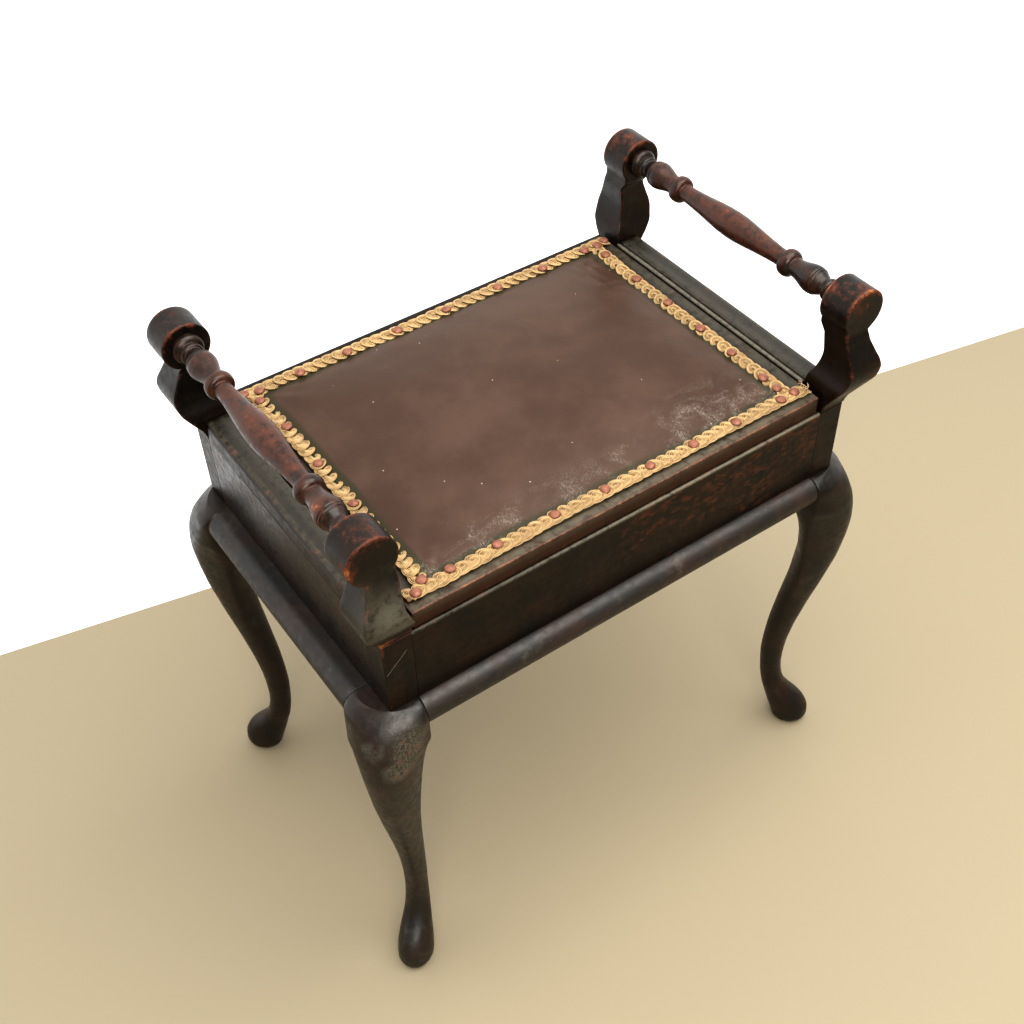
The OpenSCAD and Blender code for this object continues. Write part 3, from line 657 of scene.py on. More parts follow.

# The front and back rails carry a high dust bloom, which paints the grey sheen on their tops; the side rails
# carry a little less.
rail_wood = {
    "X": polished_wood("rail_wood_x", "X", brown=0.6, wear=0.5, dust_and_sheen=2.4, rough=0.50, shine=0.85,
                       marks=[((56, -189, 401), (57, -192, 395), 0.5),
                              ((-118, -187, 403), (-112, -190, 400), 0.4)]),
    "Y": polished_wood("rail_wood_y", "Y", brown=0.4, wear=0.4, dust_and_sheen=1.8, rough=0.50, shine=0.75),
}
leg_wood = polished_wood("leg_wood", "Z", brown=0.4, wear=0.6, dust_and_sheen=1.1, rough=0.40, shine=0.5)
# This leg's dust bloom is higher than the other legs' so that it paints the sheen that the front left leg
# catches.
front_leg_wood = polished_wood(
    "front_leg_wood", "Z", brown=0.45, wear=0.6, dust_and_sheen=1.5, rough=0.42, shine=0.7,
    crackle=[(-244, -180, 376, 30), (-252, -180, 360, 24), (-266, -168, 374, 20)],
    marks=[((-262, -187, 330), (-246, -180, 343), 0.5), ((-263, -184, 318), (-259, -186, 327), 0.5)],
)
leg(-1, -1, "front_left", front_leg_wood,
    [(-276, -176, 330, 40, 0.16), (-272, -170, 22, 26, 0.15), (-255, -190, 345, 16, 0.12)], 1.0)
leg(1, -1, "front_right", leg_wood, [(274, -174, 20, 26, 0.12), (277, -165, 350, 24, 0.10)], 2.0)
leg(-1, 1, "back_left", leg_wood, [(-272, 176, 22, 26, 0.12), (-276, 160, 360, 25, 0.12)], 3.0)
leg(1, 1, "back_right", leg_wood, [(272, 176, 22, 26, 0.12)], 4.0)

# ---- rails ----

RAIL_INSET = 12.0


def rail(name, inner, outer, end, place, material, spots, seed):
    """A rail from -end to end. Its section is flat inside and half round outside."""
    low, high = RAIL_MID - RAIL_R, RAIL_MID + RAIL_R
    round_r = RAIL_R - 0.01
    corners = [(inner, low, 1.0), (outer, low, round_r), (outer, high, round_r), (inner, high, 1.0)]
    obj, arris = prism(f"{name}_rail_shaped", ordered(corners, outer), -end, end, place, end_r=0.7)
    wood_marks(obj, arris, spots, seed)
    finish_piece(obj, "frame", material, [f"{name}_rail"])


rail("front", -(KNEE_Y - RAIL_INSET), -RAIL_OUT_Y, RAIL_END_X, along_x, rail_wood["X"],
     [(x, -RAIL_OUT_Y + 3, RAIL_MID - 11, 22, 0.20) for x in range(-200, 230, 60)], 5.0)
rail("back", KNEE_Y - RAIL_INSET, RAIL_OUT_Y, RAIL_END_X, along_x, rail_wood["X"],
     [(x, RAIL_OUT_Y - 3, RAIL_MID - 11, 26, 0.25) for x in range(-160, 230, 90)], 6.0)
rail("left", -(KNEE_X - RAIL_INSET), -RAIL_OUT_X, RAIL_END_Y, along_y, rail_wood["Y"], [], 7.0)
rail("right", KNEE_X - RAIL_INSET, RAIL_OUT_X, RAIL_END_Y, along_y, rail_wood["Y"], [], 8.0)

# ---- box ----

post_wood = polished_wood("post_wood", "Z", brown=0.4, wear=0.7, dust_and_sheen=0.4, rough=0.40, shine=0.3,
                          marks=[((-248, -166, 455), (-228, -166, 474), 0.45)])
for sx in SIDES:
    for sy in SIDES:
        corner = f"{'front' if sy < 0 else 'back'}_{'left' if sx < 0 else 'right'}"
        low, high = span(f"{corner}_post")
        r = {(a, b): 1.6 if (a == sx and b == sy) else 0.5 for a in SIDES for b in SIDES}
        corners = [(low[0], low[1], r[-1, -1]), (high[0], low[1], r[1, -1]),
                   (high[0], high[1], r[1, 1]), (low[0], high[1], r[-1, 1])]
        post, arris = prism(f"{corner}_post_planed", corners, low[2], high[2],
                            lambda a, b, s: np.array((a, b, s)), end_r=0.7)
        wood_marks(post, arris, [(sx * HALF_W, sy * HALF_D, BOX_Z1, 16, 0.22)], 9.0 + sx + 2 * sy)
        finish_piece(post, "frame", post_wood, [f"{corner}_post"])

front_wood = polished_wood(
    "front_board_wood", "X", brown=0.36, wear=0.7, dust_and_sheen=0.25, rough=0.36, shine=0.28,
    stains=[(20, -166, 470, 40), (80, -166, 470, 62), (150, -166, 470, 74), (200, -166, 472, 44)],
)
end_wood = polished_wood("end_board_wood", "Y", brown=0.5, wear=0.7, dust_and_sheen=0.5, rough=0.34, shine=0.42)
back_wood = polished_wood("back_board_wood", "X", brown=0.5, wear=0.9, dust_and_sheen=0.6, rough=0.42)


def board(name, side, half_depth, half_length, place, top_r):
    """A board of the box, between two posts. Its outer top arris has the radius top_r."""
    low, high = span(f"{name}_board")
    inner, outer = side * (half_depth - BOARD_T), side * half_depth
    corners = [(inner, low[2], 0.5), (outer, low[2], 0.8), (outer, high[2], top_r), (inner, high[2], 0.6)]
    return prism(f"{name}_board_planed", ordered(corners, side), -half_length, half_length, place, end_r=0.45)


for sy, name, wood, seed, spots in (
        (-1, "front", front_wood, 12.0, [(34, -166, 472, 16, 0.10), (80, -166, 470, 20, 0.12)]),
        (1, "back", back_wood, 13.0, [(x, HALF_D, BOX_Z1, 20, 0.15) for x in range(-200, 225, 50)])):
    obj, arris = board(name, sy, HALF_D, HALF_W - POST, along_x, 2.5)
    wood_marks(obj, arris, spots, seed)
    if sy < 0:
        x, y, z = places_of(obj).T
        near = np.hypot((y + HALF_D - 0.8) / 1.6, (z - BOX_Z1 + 0.6) / 1.6)
        give(obj.data, "pale", np.interp(x, (-220, 60), (0.25, 0.75)) * np.exp(-near**2))
    else:
        cut_for_leaves(obj, "box", BOX_Z1 - 1.5, BOX_Z1 + 5)
    finish_piece(obj, "frame", wood, [f"{name}_board"])

for sx, side in ENDS:
    obj, arris = board(f"{side}_end", sx, HALF_W, HALF_D - POST, along_y, 0.9)
    wood_marks(obj, arris, [(sx * HALF_W, y, BOX_Z1, 18, 0.18) for y in (-120, -60, 30, 100)], 14.0 + sx)
    finish_piece(obj, "frame", end_wood, [f"{side}_end_board"])

# End caps: a bead and a quirk along the inner edge, and a rounded outer edge.
BEAD_R = 2.6
QUIRK = 1.2
cap_wood = polished_wood("cap_wood", "Y", brown=0.2, wear=0.8, dust_and_sheen=0.9, rough=0.42, shine=0.42)
for sx, side in ENDS:
    low, high = span(f"{side}_end_cap")
    inner, width, top = min(abs(low[0]), abs(high[0])), high[0] - low[0], high[2]
    bead = arc(BEAD_R, -BEAD_R, BEAD_R, 180, 10, 8)
    quirk = 2 * BEAD_R + QUIRK
    profile = [(0.0, -20.0), (0.0, -12.0)] + bead
    profile += [(2 * BEAD_R + 0.1, -BEAD_R - 0.6), (quirk, -BEAD_R - 0.6), (quirk, -0.8), (quirk + 0.7, 0.0)]
    profile += [(x, 0.0) for x in (10.0, 14.0, 18.0, 22.0)] + arc(width - 5, -5, 5, 90, 0, 6)
    profile += [(width, z) for z in (-9.0, -13.0, -17.0, -20.0)]
    arris = [FAR, FAR] + [0.6] * 9 + [3.0, 3.0] + [0.4, 0.2, 3.0, 7.0, 7.0, 4.0]
    arris += [0.8] * 7 + [3.0, 5.0, 2.5, 0.5]
    # The pale values paint a highlight along the bead and a sheen over the flat top and the outer rounding, a
    # little stronger on the left cap.
    margin = 0.2 if sx < 0 else 0.15
    pale = [0.0] * 3 + [0.1, 0.35, 0.6, 0.6, 0.4, 0.2, 0.0, 0.0] + [0.0, 0.1] + [0.17] * 4
    pale += [0.1, 0.1, margin, margin, margin, 0.1]
    pale += [0.0] * (len(profile) - len(pale))
    stations = np.linspace(low[1], high[1], 60)
    points = [(sx * (inner + a), y, top + b) for y in stations for a, b in profile]
    cap = loft(f"{side}_end_cap_moulded", points, len(stations))
    spots = [(sx * HALF_W, y, top, 14, 0.14) for y in (-110, -60, 20, 90)]
    wood_marks(cap, arris * len(stations), spots, 17.0 + sx, np.array(pale * len(stations)))
    finish_piece(cap, "frame", cap_wood, [f"{side}_end_cap"])

# ---- uprights and handles ----

# Height above the box, reach inwards and outwards across the bench, then front to back.
UPRIGHT = [
    (0, 14, 14, 14, 14), (10, 14, 17, 14, 17), (22, 13.4, 25, 13.4, 24.5), (31, 11.4, 30.8, 11.6, 30),
    (34, 9.6, 32.2, 10, 31.4), (40, 6.6, 33.7, 7.6, 32.8), (46, 4.6, 34.4, 6.4, 33.4),
    (54, 3.2, 32.6, 5.6, 31.6), (60, 3.4, 29.8, 5.8, 29), (75, 5.4, 23.6, 6.4, 23),
    (90, 5.2, 21.4, 8.5, 19.8), (105, 5.2, 21.4, 12, 19.6),
]
HEAD_HIGH = span("front_right_upright")[1]
HANDLE_LOW, HANDLE_HIGH = span("right_handle")
AXIS_X = (HANDLE_LOW[0] + HANDLE_HIGH[0]) / 2
AXIS_Z = (HANDLE_LOW[2] + HANDLE_HIGH[2]) / 2
AXIS_H = AXIS_Z - BOX_Z1
HEAD_R = HEAD_HIGH[2] - AXIS_Z
LEAN = AXIS_X - POST_X
HEAD_IN, HEAD_OUT = 13.0, 19.6
UPRIGHT_R = 1.5


def upright_reach(column, h):
    """A column of UPRIGHT at a height."""
    return eased(UPRIGHT, column, h, 3.0)


def head_reach(h):
    """Half the width of the round head at a height, or None below it."""
    d = abs(h - AXIS_H)
    return math.sqrt(max(HEAD_R * HEAD_R - d * d, 0.0)) if d <= HEAD_R else None


def across(h):
    """Inner and outer edge of an upright, seen from the front, at a height."""
    inner, outer = -upright_reach(1, h), upright_reach(2, h)
    head = head_reach(h)
    if head is None:
        return inner, outer
    if h > AXIS_H:
        return LEAN - head, LEAN + head
    return min(inner, LEAN - head), max(outer, LEAN + head)


def depth(h):
    """Inner and outer face of an upright, seen from the side, at a height."""
    blend = float(np.clip((h - (AXIS_H - HEAD_R - 4)) / 8, 0, 1))
    inner = upright_reach(3, h) * (1 - blend) + HEAD_IN * blend
    outer = upright_reach(4, h) * (1 - blend) + HEAD_OUT * blend
    return -inner, outer


def upright(sx, sy, name, spots, seed, pale=()):
    """An upright is sawn to a silhouette, with its front and back faces curved as well."""
    lower = np.linspace(0, AXIS_H - HEAD_R, 48)
    head = AXIS_H - HEAD_R * np.cos(np.radians(np.linspace(4, 176, 44)))
    heights = np.concatenate([lower, head])
    rows = len(heights)
    silhouette = np.array([(across(h)[1], h) for h in heights] + [(across(h)[0], h) for h in heights[::-1]])
    out = normals_of(silhouette)
    section = [(0.0, 4.5), (0.0, 2.8)] + rounding(UPRIGHT_R)
    points, arris = [], []
    for front in (True, False):
        for away, inset in section if front else section[::-1]:
            ring = silhouette - out * inset
            ring[:, 1] = np.maximum(ring[:, 1], min(inset, 0.3) if inset else 0)
            points += [(x, depth(h)[1] - away if front else depth(h)[0] + away, h) for x, h in ring]
            arris += [max(inset - UPRIGHT_R, away - UPRIGHT_R, 0.0)] * len(ring)
        if front:
            for t in np.linspace(0, 1, 11)[1:-1]:
                points += [(x, (depth(h)[1] - UPRIGHT_R) * (1 - t) + (depth(h)[0] + UPRIGHT_R) * t, h)
                           for x, h in silhouette]
                arris += [min(t, 1 - t) * 36.0] * len(silhouette)
    sides = len(silhouette)
    rings = len(points) // sides
    faces = strips(rings, sides)
    columns = 6
    for first, face in ((0, 1), ((rings - 1) * sides, 0)):
        base = len(points)
        for i in range(rows):
            a, b = np.array(points[first + i]), np.array(points[first + 2 * rows - 1 - i])
            for k in range(1, columns):
                p = a + (b - a) * k / columns
                points.append((p[0], depth(p[2])[face], p[2]))
                arris.append(min(k, columns - k) * 4.0 + 3.0)
        at = [[first + i, *range(base + i * (columns - 1), base + (i + 1) * (columns - 1)),
               first + 2 * rows - 1 - i] for i in range(rows)]
        for i in range(rows - 1):
            for k in range(columns):
                faces.append((at[i][k], at[i][k + 1], at[i + 1][k + 1], at[i + 1][k]))
    points = np.array(points)
    points[:, 0] = sx * (points[:, 0] + POST_X)
    points[:, 1] = sy * (points[:, 1] + POST_Y)
    points[:, 2] += BOX_Z1
    obj = make(f"{name}_upright_carved", points, faces)
    face_outwards(obj.data, fill=True)
    wood_marks(obj, arris, spots, seed, pale)
    finish_piece(obj, "frame", upright_wood, [f"{name}_upright"])


upright_wood = polished_wood(
    "upright_wood", "Z", brown=0.22, wear=0.85, dust_and_sheen=0.8, rough=0.38, shine=0.36, soft=0.06,
    marks=[((-252, -185.5, 594), (-246, -185.6, 598), 1.4), ((-251, -185.5, 592), (-249, -185.6, 597), 1.2)],
)
top = AXIS_Z + HEAD_R
head_x, head_y = AXIS_X, POST_Y + HEAD_OUT
# The front left upright's pale spots, low on its front face, paint the grey sheen where that face sweeps
# outwards and up.
upright(-1, -1, "front_left",
        [(-head_x, -head_y + 14, top - 2, 26, 0.26), (-head_x - 20, -head_y + 2, AXIS_Z + 1, 10, 0.42),
         (-HALF_W + 2, -HALF_D + 2, BOX_Z1 + 3, 16, 0.55), (-head_x, -head_y, AXIS_Z + 8, 24, 0.10),
         (-228, -166, BOX_Z1 + 4, 10, 0.25)], 20.0,
        [(-246, -186, BOX_Z1 + 50, 24, 0.42), (-236, -184, BOX_Z1 + 34, 14, 0.40),
         (-262, -184, BOX_Z1 + 74, 16, 0.25)])
upright(1, -1, "front_right",
        [(head_x, -head_y + 3, top - 2, 24, 0.34), (head_x - 12, -140, top - 8, 16, 0.40),
         (head_x + 4, -head_y + 14, top, 20, 0.16), (268, -180, BOX_Z1 + 38, 14, 0.30)], 21.0)
upright(-1, 1, "back_left",
        [(-head_x, head_y - 14, top - 2, 24, 0.20), (-head_x - 12, 140, top - 6, 14, 0.22)], 22.0)
upright(1, 1, "back_right",
        [(head_x - 4, head_y - 14, top - 2, 26, 0.34), (head_x - 16, head_y - 6, top - 12, 18, 0.30)], 23.0)

# Stretches of the handle from its middle outwards: distance, radius. Each is one smooth curve.
HANDLE = [
    [(0, 13.1), (12, 12.7), (24, 11.6), (40, 9.9), (55, 8.6), (64, 8.1), (70, 8.2)],
    [(70.4, 9.4), (71.2, 11.2), (73.4, 12.6), (76.8, 13.1), (80.2, 12.5), (82.6, 10.9), (83.6, 9.2)],
    [(84, 8.8), (87, 8.9), (91, 9.4), (97, 10.9), (103, 12.6), (107.5, 13.3), (111.4, 13.0)],
    [(111.8, 12.2), (112.4, 12.6), (113.6, 12.7), (114.6, 12.2)],
    [(115, 11.4), (115.8, 11.5), (117, 11.0), (118.6, 10.2), (120.8, 9.1), (123.4, 8.4), (125.2, 8.5)],
    [(125.5, 9.2), (126.4, 10.1), (128.0, 10.5), (129.6, 10.1), (130.4, 9.5)],
    [(130.8, 10.0), (131.8, 11.8), (133.2, 13.4), (135.2, 14.3), (137.4, 14.4), (139, 14.4)],
]
HANDLE_SIDES = 64
HANDLE_STEP = 0.7


def smooth_through(stretch):
    """Points of a smooth curve through a stretch's points, without overshoot."""
    x, y = np.array(stretch, float).T
    slope = np.diff(y) / np.diff(x)
    tangent = [0 if a * b <= 0 else 2 * a * b / (a + b) for a, b in zip(slope, slope[1:])]
    tangent = np.concatenate([[0 if x[0] == 0 else slope[0]], tangent, [slope[-1]]])
    found = []
    for i in range(len(slope)):
        gap = x[i + 1] - x[i]
        for t in np.linspace(0, 1, max(2, int(gap / HANDLE_STEP)) + 1)[:-1]:
            a = 2 * t**3 - 3 * t**2 + 1
            b = t**3 - 2 * t**2 + t
            c = t**3 - t**2
            r = a * y[i] + b * gap * tangent[i] + (1 - a) * y[i + 1] + c * gap * tangent[i + 1]
            found.append((x[i] + gap * t, r))
    return found + [(x[-1], y[-1])]


def handle(sx, name, spots, seed):
    """A turned handle, its ends flush with the heads of the uprights."""
    half = [p for stretch in HANDLE for p in smooth_through(stretch)]
    profile = [(-d, r) for d, r in reversed(half[1:])] + half
    k = (POST_Y - HEAD_IN) / half[-1][0]
    points, groove = [], []
    radii = np.array([r for _, r in profile])
    for i, (d, r) in enumerate(profile):
        around = radii[max(0, i - 7):i + 8]
        groove += [np.clip((around.max() - r) / 2.5, 0, 1)] * HANDLE_SIDES
        for a in np.arange(HANDLE_SIDES) * 2 * math.pi / HANDLE_SIDES:
            points.append((sx * AXIS_X + r * math.cos(a), d * k, AXIS_Z + r * math.sin(a)))
    obj = loft(f"{name}_handle_turned", points, len(profile))
    wood_marks(obj, 6.0 * np.array(groove) + 1.8, spots, seed)
    finish_piece(obj, "frame", handle_wood, [f"{name}_handle"])


handle_wood = polished_wood("handle_wood", "Y", brown=1.0, wear=0.4, dust_and_sheen=0.9, rough=0.34, shine=0.5,
                            soft=0.22)
up = AXIS_Z + 9
handle(-1, "left",
       [(-AXIS_X, y, up, 34, 0.37) for y in (-50, -20, 15, 50)]
       + [(-AXIS_X - 6, -104, AXIS_Z + 6, 11, 0.62), (-AXIS_X - 8, -110, AXIS_Z - 2, 9, 0.55),
          (-AXIS_X, 104, up, 12, 0.28), (-AXIS_X, 77, up + 2, 8, 0.25), (-AXIS_X, -77, up + 2, 8, 0.2)], 24.0)
handle(1, "right",
       [(AXIS_X, y, up, 34, 0.34) for y in (-50, -15, 20, 55)]
       + [(AXIS_X, 77, AXIS_Z, 16, 0.34), (AXIS_X, -77, AXIS_Z + 4, 16, 0.34),
          (AXIS_X, 104, up, 14, 0.22)], 25.0)

# ---- lid ----

LID_LOW, LID_HIGH = span("lid_board")
lid_wood = polished_wood("lid_wood", "X", brown=0.35, wear=0.5, dust_and_sheen=0.8, rough=0.42, shine=0.26)
corners = [(LID_LOW[1], LID_LOW[2], 0.8), (LID_HIGH[1], LID_LOW[2], 0.8),
           (LID_HIGH[1], LID_HIGH[2], 2.2), (LID_LOW[1], LID_HIGH[2], 1.8)]
lid, arris = prism("lid_board_planed", corners, LID_LOW[0], LID_HIGH[0], along_x, end_r=0.8, open_ends=True)
wood_marks(lid, arris, [(x, LID_LOW[1] + 1, LID_HIGH[2], 9, 0.16) for x in range(70, 225, 16)]
           + [(LID_HIGH[0], y, LID_HIGH[2], 14, 0.12) for y in (-150, -100, -40, 40, 110)], 26.0,
           [(x, -157.5, LID_HIGH[2], 7, 0.42) for x in range(-212, 218, 6)]
           + [(213, y, LID_HIGH[2], 7, 0.30) for y in range(-140, 160, 9)]
           + [(-212, y, LID_HIGH[2], 7, 0.26) for y in range(-140, 160, 9)],
           fade=[(x, LID_LOW[1] - 4, LID_LOW[2] + 8, 14, 1.3) for x in range(-215, 220, 8)])
rub = np.array([v.value for v in lid.data.attributes["rub"].data])
_, y, z = places_of(lid).T
near = np.hypot(y - LID_LOW[1], z - LID_HIGH[2])
give(lid.data, "rub", np.maximum(rub, 0.75 * np.exp(-near**2)))
cut_for_leaves(lid, "lid", LID_LOW[2] - 5, LID_LOW[2] + 1.5)
finish_piece(lid, "lid", lid_wood, ["lid_board"])

# ---- nails ----


def nail_places():
    """The middle of each nail of the CAD node, from its connected patches of mesh."""
    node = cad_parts["upholstery_nails"]
    points = places_of(node)[:, :2]
    edges = np.array([e.vertices for e in node.data.edges])
    label = np.arange(len(points))
    while True:
        least = np.minimum(label[edges[:, 0]], label[edges[:, 1]])
        before = label.copy()
        np.minimum.at(label, edges[:, 0], least)
        np.minimum.at(label, edges[:, 1], least)
        if (label == before).all():
            break
    found = []
    for k in np.unique(label):
        patch = points[label == k]
        low, high = patch.min(0), patch.max(0)
        x, y = (low + high) / 2
        if (high - low).min() > 1.8 * NAIL_R and all(math.hypot(x - a, y - b) > 1 for a, b in found):
            found.append((float(x), float(y)))
    return sorted(found)


NAIL_TOP = span("upholstery_nails")[1][2]
NAIL_R = 5.0
NAIL_H = 2.9
NAIL_SIDES = 26
NAILS = nail_places()


def nail_distance(p):
    """Distance from a place on the seat to the middle of the nearest nail."""
    return min(math.hypot(p[0] - x, p[1] - y) for x, y in NAILS)


def nail_heads():
    """Domed heads with a rolled rim, each a little off level and off round."""
    rings = [(NAIL_R * math.sin(a), NAIL_H * math.cos(a)) for a in np.radians(np.linspace(6, 90, 11))]
    rings += [(NAIL_R - 0.25, -0.35), (NAIL_R - 1.3, -0.5)]
    rng = np.random.default_rng(11)
    points, faces, rim = [], [], []
    for x, y in NAILS:
        base = len(points) + 1
        tilt = rng.normal(0, 0.05, 2)
        squash_x, squash_y = 1 + rng.normal(0, 0.03, 2)
        dent = rng.uniform(0, 2 * math.pi)
        points.append((x, y, NAIL_TOP - 0.05))
        rim.append(0.0)
        for k, (r, h) in enumerate(rings):
            for a in np.arange(NAIL_SIDES) * 2 * math.pi / NAIL_SIDES:
                wobble = 1 + 0.02 * math.cos(a - dent) * k / len(rings)
                px, py = r * squash_x * wobble * math.cos(a), r * squash_y * wobble * math.sin(a)
                points.append((x + px, y + py, NAIL_TOP - NAIL_H + h + tilt[0] * px + tilt[1] * py))
                rim.append(np.clip((k - 7) / 3, 0, 1))
        *walls, _, bottom = skin(len(rings), NAIL_SIDES, base)
        faces += [(base - 1, base + j, base + (j + 1) % NAIL_SIDES) for j in range(NAIL_SIDES)]
        faces += [*walls, bottom]
    obj = make("nail_heads_domed", points, faces)
    give(obj.data, "rim", rim)
    finish_piece(obj, "lid", copper(), ["upholstery_nails"])


nail_heads()

# ---- leather seat ----

GIMP_LOW, GIMP_HIGH = span("gimp_braid")
RIM_HIGH = span("seat_leather")[1]
GIMP_W = 15.0
GIMP_RUN = 12.0
GIMP_END = GIMP_HIGH[0]
GIMP_X, GIMP_Y = GIMP_END - GIMP_RUN - GIMP_W / 2, GIMP_HIGH[1] - GIMP_W / 2
RIM_X, RIM_Y = RIM_HIGH[0], RIM_HIGH[1]
PAD_X, PAD_Y = GIMP_X - GIMP_W / 2, GIMP_Y - GIMP_W / 2
RIM_Z = GIMP_LOW[2]
CROWN = RIM_HIGH[2] - RIM_Z
PAD_NX, PAD_NY = 100, 76
PAD_N = PAD_NX * PAD_NY
PAD_START = 0.86
PAD_MOVE = 0.16
CLOTH_FRAMES = 20


def crown(x, y):
    """Height of the leather above its rim: flat across the middle, rolling down at the edges."""
    u, v = min(1.0, abs(x) / PAD_X), min(1.0, abs(y) / PAD_Y)
    return ((1 - u**3.2) * (1 - v**3.2)) ** 0.8


def edge_lines(rim, count):
    """Grid lines from -rim to rim, closer together near the ends."""
    t = np.linspace(-1, 1, count)
    return rim * (0.72 * t + 0.28 * np.sin(t * math.pi / 2))


def pad_mesh():
    """A closed pad: the leather over the crown and a flat underside."""
    xs, ys = edge_lines(RIM_X, PAD_NX), edge_lines(RIM_Y, PAD_NY)
    points = [(x, y, RIM_Z + PAD_START * CROWN * crown(x, y)) for y in ys for x in xs]
    points += [(x, y, LID_HIGH[2] + 0.2) for y in ys for x in xs]
    faces = []
    for j in range(PAD_NY - 1):
        for i in range(PAD_NX - 1):
            a = j * PAD_NX + i
            quad = (a, a + 1, a + PAD_NX + 1, a + PAD_NX)
            faces += [quad, tuple(q + PAD_N for q in reversed(quad))]
    last = PAD_N - PAD_NX
    rim = [*range(PAD_NX), *range(2 * PAD_NX - 1, PAD_N, PAD_NX), *range(PAD_N - 2, last - 1, -1),
           *range(last - PAD_NX, 0, -PAD_NX)]
    for a, b in zip(rim, rim[1:] + rim[:1]):
        faces.append((b, a, a + PAD_N, b + PAD_N))
    return make("seat_leather_stretched", points, faces)


def inflate(pad):
    """Cloth simulation: the stuffing presses the leather up between its nails."""
    group = pad.vertex_groups.new(name="held")
    rest = np.array([v.co for v in pad.data.vertices])
    for i, p in enumerate(rest / MM):
        outside = max(abs(p[0]) - PAD_X, abs(p[1]) - PAD_Y)
        if i >= PAD_N or outside > 5.0:
            group.add([i], 1.0, "REPLACE")
        elif outside > -2.0:
            group.add([i], 1.0 if nail_distance(p) < 15 else 0.35, "REPLACE")
    cloth = pad.modifiers.new("cloth", "CLOTH")
    for name, value in dict(
            quality=6, mass=0.25, tension_stiffness=25, compression_stiffness=25, shear_stiffness=12,
            bending_stiffness=4, use_pressure=True, uniform_pressure_force=4.0, vertex_group_mass="held",
            pin_stiffness=2.0).items():
        setattr(cloth.settings, name, value)
    cloth.settings.effector_weights.gravity = 0
    cloth.point_cache.frame_start = 1
    cloth.point_cache.frame_end = CLOTH_FRAMES
    for step in range(1, CLOTH_FRAMES + 1):
        bpy.context.scene.frame_set(step)
    apply_modifiers(pad)
    bpy.context.scene.frame_set(1)
    moved = np.array([v.co for v in pad.data.vertices]) - rest
    length = np.linalg.norm(moved, axis=1)
    cap = PAD_MOVE * CROWN * MM
    moved *= np.where(length > cap, cap / np.maximum(length, 1e-9), 1.0)[:, None]
    return rest + moved


def crease(p):
    """Small relief in the leather: scallops at the nails, tension folds at the corners, lumps."""
    x, y = p[:2]
    inside_x, inside_y = PAD_X - abs(x), PAD_Y - abs(y)
    inside = min(inside_x, inside_y)
    if inside < 0:
        return 0.0
    lift = -1.1 * math.exp(-((nail_distance(p) - 6) / 9) ** 2) * math.exp(-inside / 10)
    corner = math.hypot(inside_x, inside_y)
    angle = math.atan2(inside_y, inside_x + 1e-6)
    folds = 0.55 * math.sin(11 * angle + 2 * math.copysign(1, x)) * math.exp(-((corner - 22) / 26) ** 2)
    lumps = 0.9 * noise.noise(Vector((x / 60, y / 60, 3.1)))
    lumps += 0.35 * noise.noise(Vector((x / 22, y / 22, 7.7)))
    fade = min(1.0, inside / 14)
    puckers = 1.2 * patch(x, y, 176, 110, 22, 34) * math.sin(x / 2.1 + y / 12)
    return lift + fade * (lumps + puckers) + folds * min(1.0, inside / 6)


def patch(x, y, middle_x, middle_y, reach_x, reach_y):
    """1 in the middle of a soft oval patch, falling to 0 outside it."""
    return math.exp(-(((x - middle_x) / reach_x) ** 2 + ((y - middle_y) / reach_y) ** 2))


pad = pad_mesh()
shape = places_of(pad) * MM
shape = inflate(pad)
scuffs, edges = [], []
for i, v in enumerate(pad.data.vertices):
    x, y, z = shape[i] / MM
    if i < PAD_N:
        z = max(z + crease((x, y, z)), RIM_Z - 0.3)
    v.co = (x * MM, y * MM, z * MM)
    front = math.exp(-(((y + PAD_Y - 10) / 15) ** 2))
    right = patch(x, y, PAD_X - 50, 16 - PAD_Y, 80, 26)
    left = patch(x, y, 40 - PAD_X, 14 - PAD_Y, 40, 20)
    back = patch(x, y, 176, 100, 26, 40)
    scuffs.append(min(1.0, 0.75 * front + right + 0.8 * left + 0.35 * back))
    edges.append(np.clip(1 - min(PAD_X - abs(x), PAD_Y - abs(y)) / 15, 0, 1))
give(pad.data, "scuff", scuffs)
give(pad.data, "edge", edges)
subdivision = pad.modifiers.new("smooth", "SUBSURF")
subdivision.levels = subdivision.render_levels = 1
apply_modifiers(pad)
finish_piece(pad, "lid", leather(), ["seat_leather", "seat_stuffing"])

# ---- gimp ----

THREAD_R = 0.52
THREAD_SIDES = 5
SCROLL = 10.4
LOOP = 18
THREADS = (-3.4, -2.15, -0.9, 0.35, 1.6, 2.7)
BACKING_HALF = GIMP_W / 2 - 2.4


def tube(points, faces, line, radius):
    """Adds a thin tube along a line of points to a mesh under construction."""
    line = np.array(line)
    tangent = np.gradient(line, axis=0)
    tangent /= np.linalg.norm(tangent, axis=1)[:, None]
    level = np.cross(tangent, (0, 0, 1))
    level /= np.maximum(np.linalg.norm(level, axis=1), 1e-6)[:, None]
    upward = np.cross(level, tangent)
    faces += skin(len(line), THREAD_SIDES, len(points))
    for p, a, b in zip(line, level, upward):
        for t in np.arange(THREAD_SIDES) * 2 * math.pi / THREAD_SIDES:
            points.append(p + radius * (math.cos(t) * a + math.sin(t) * b))


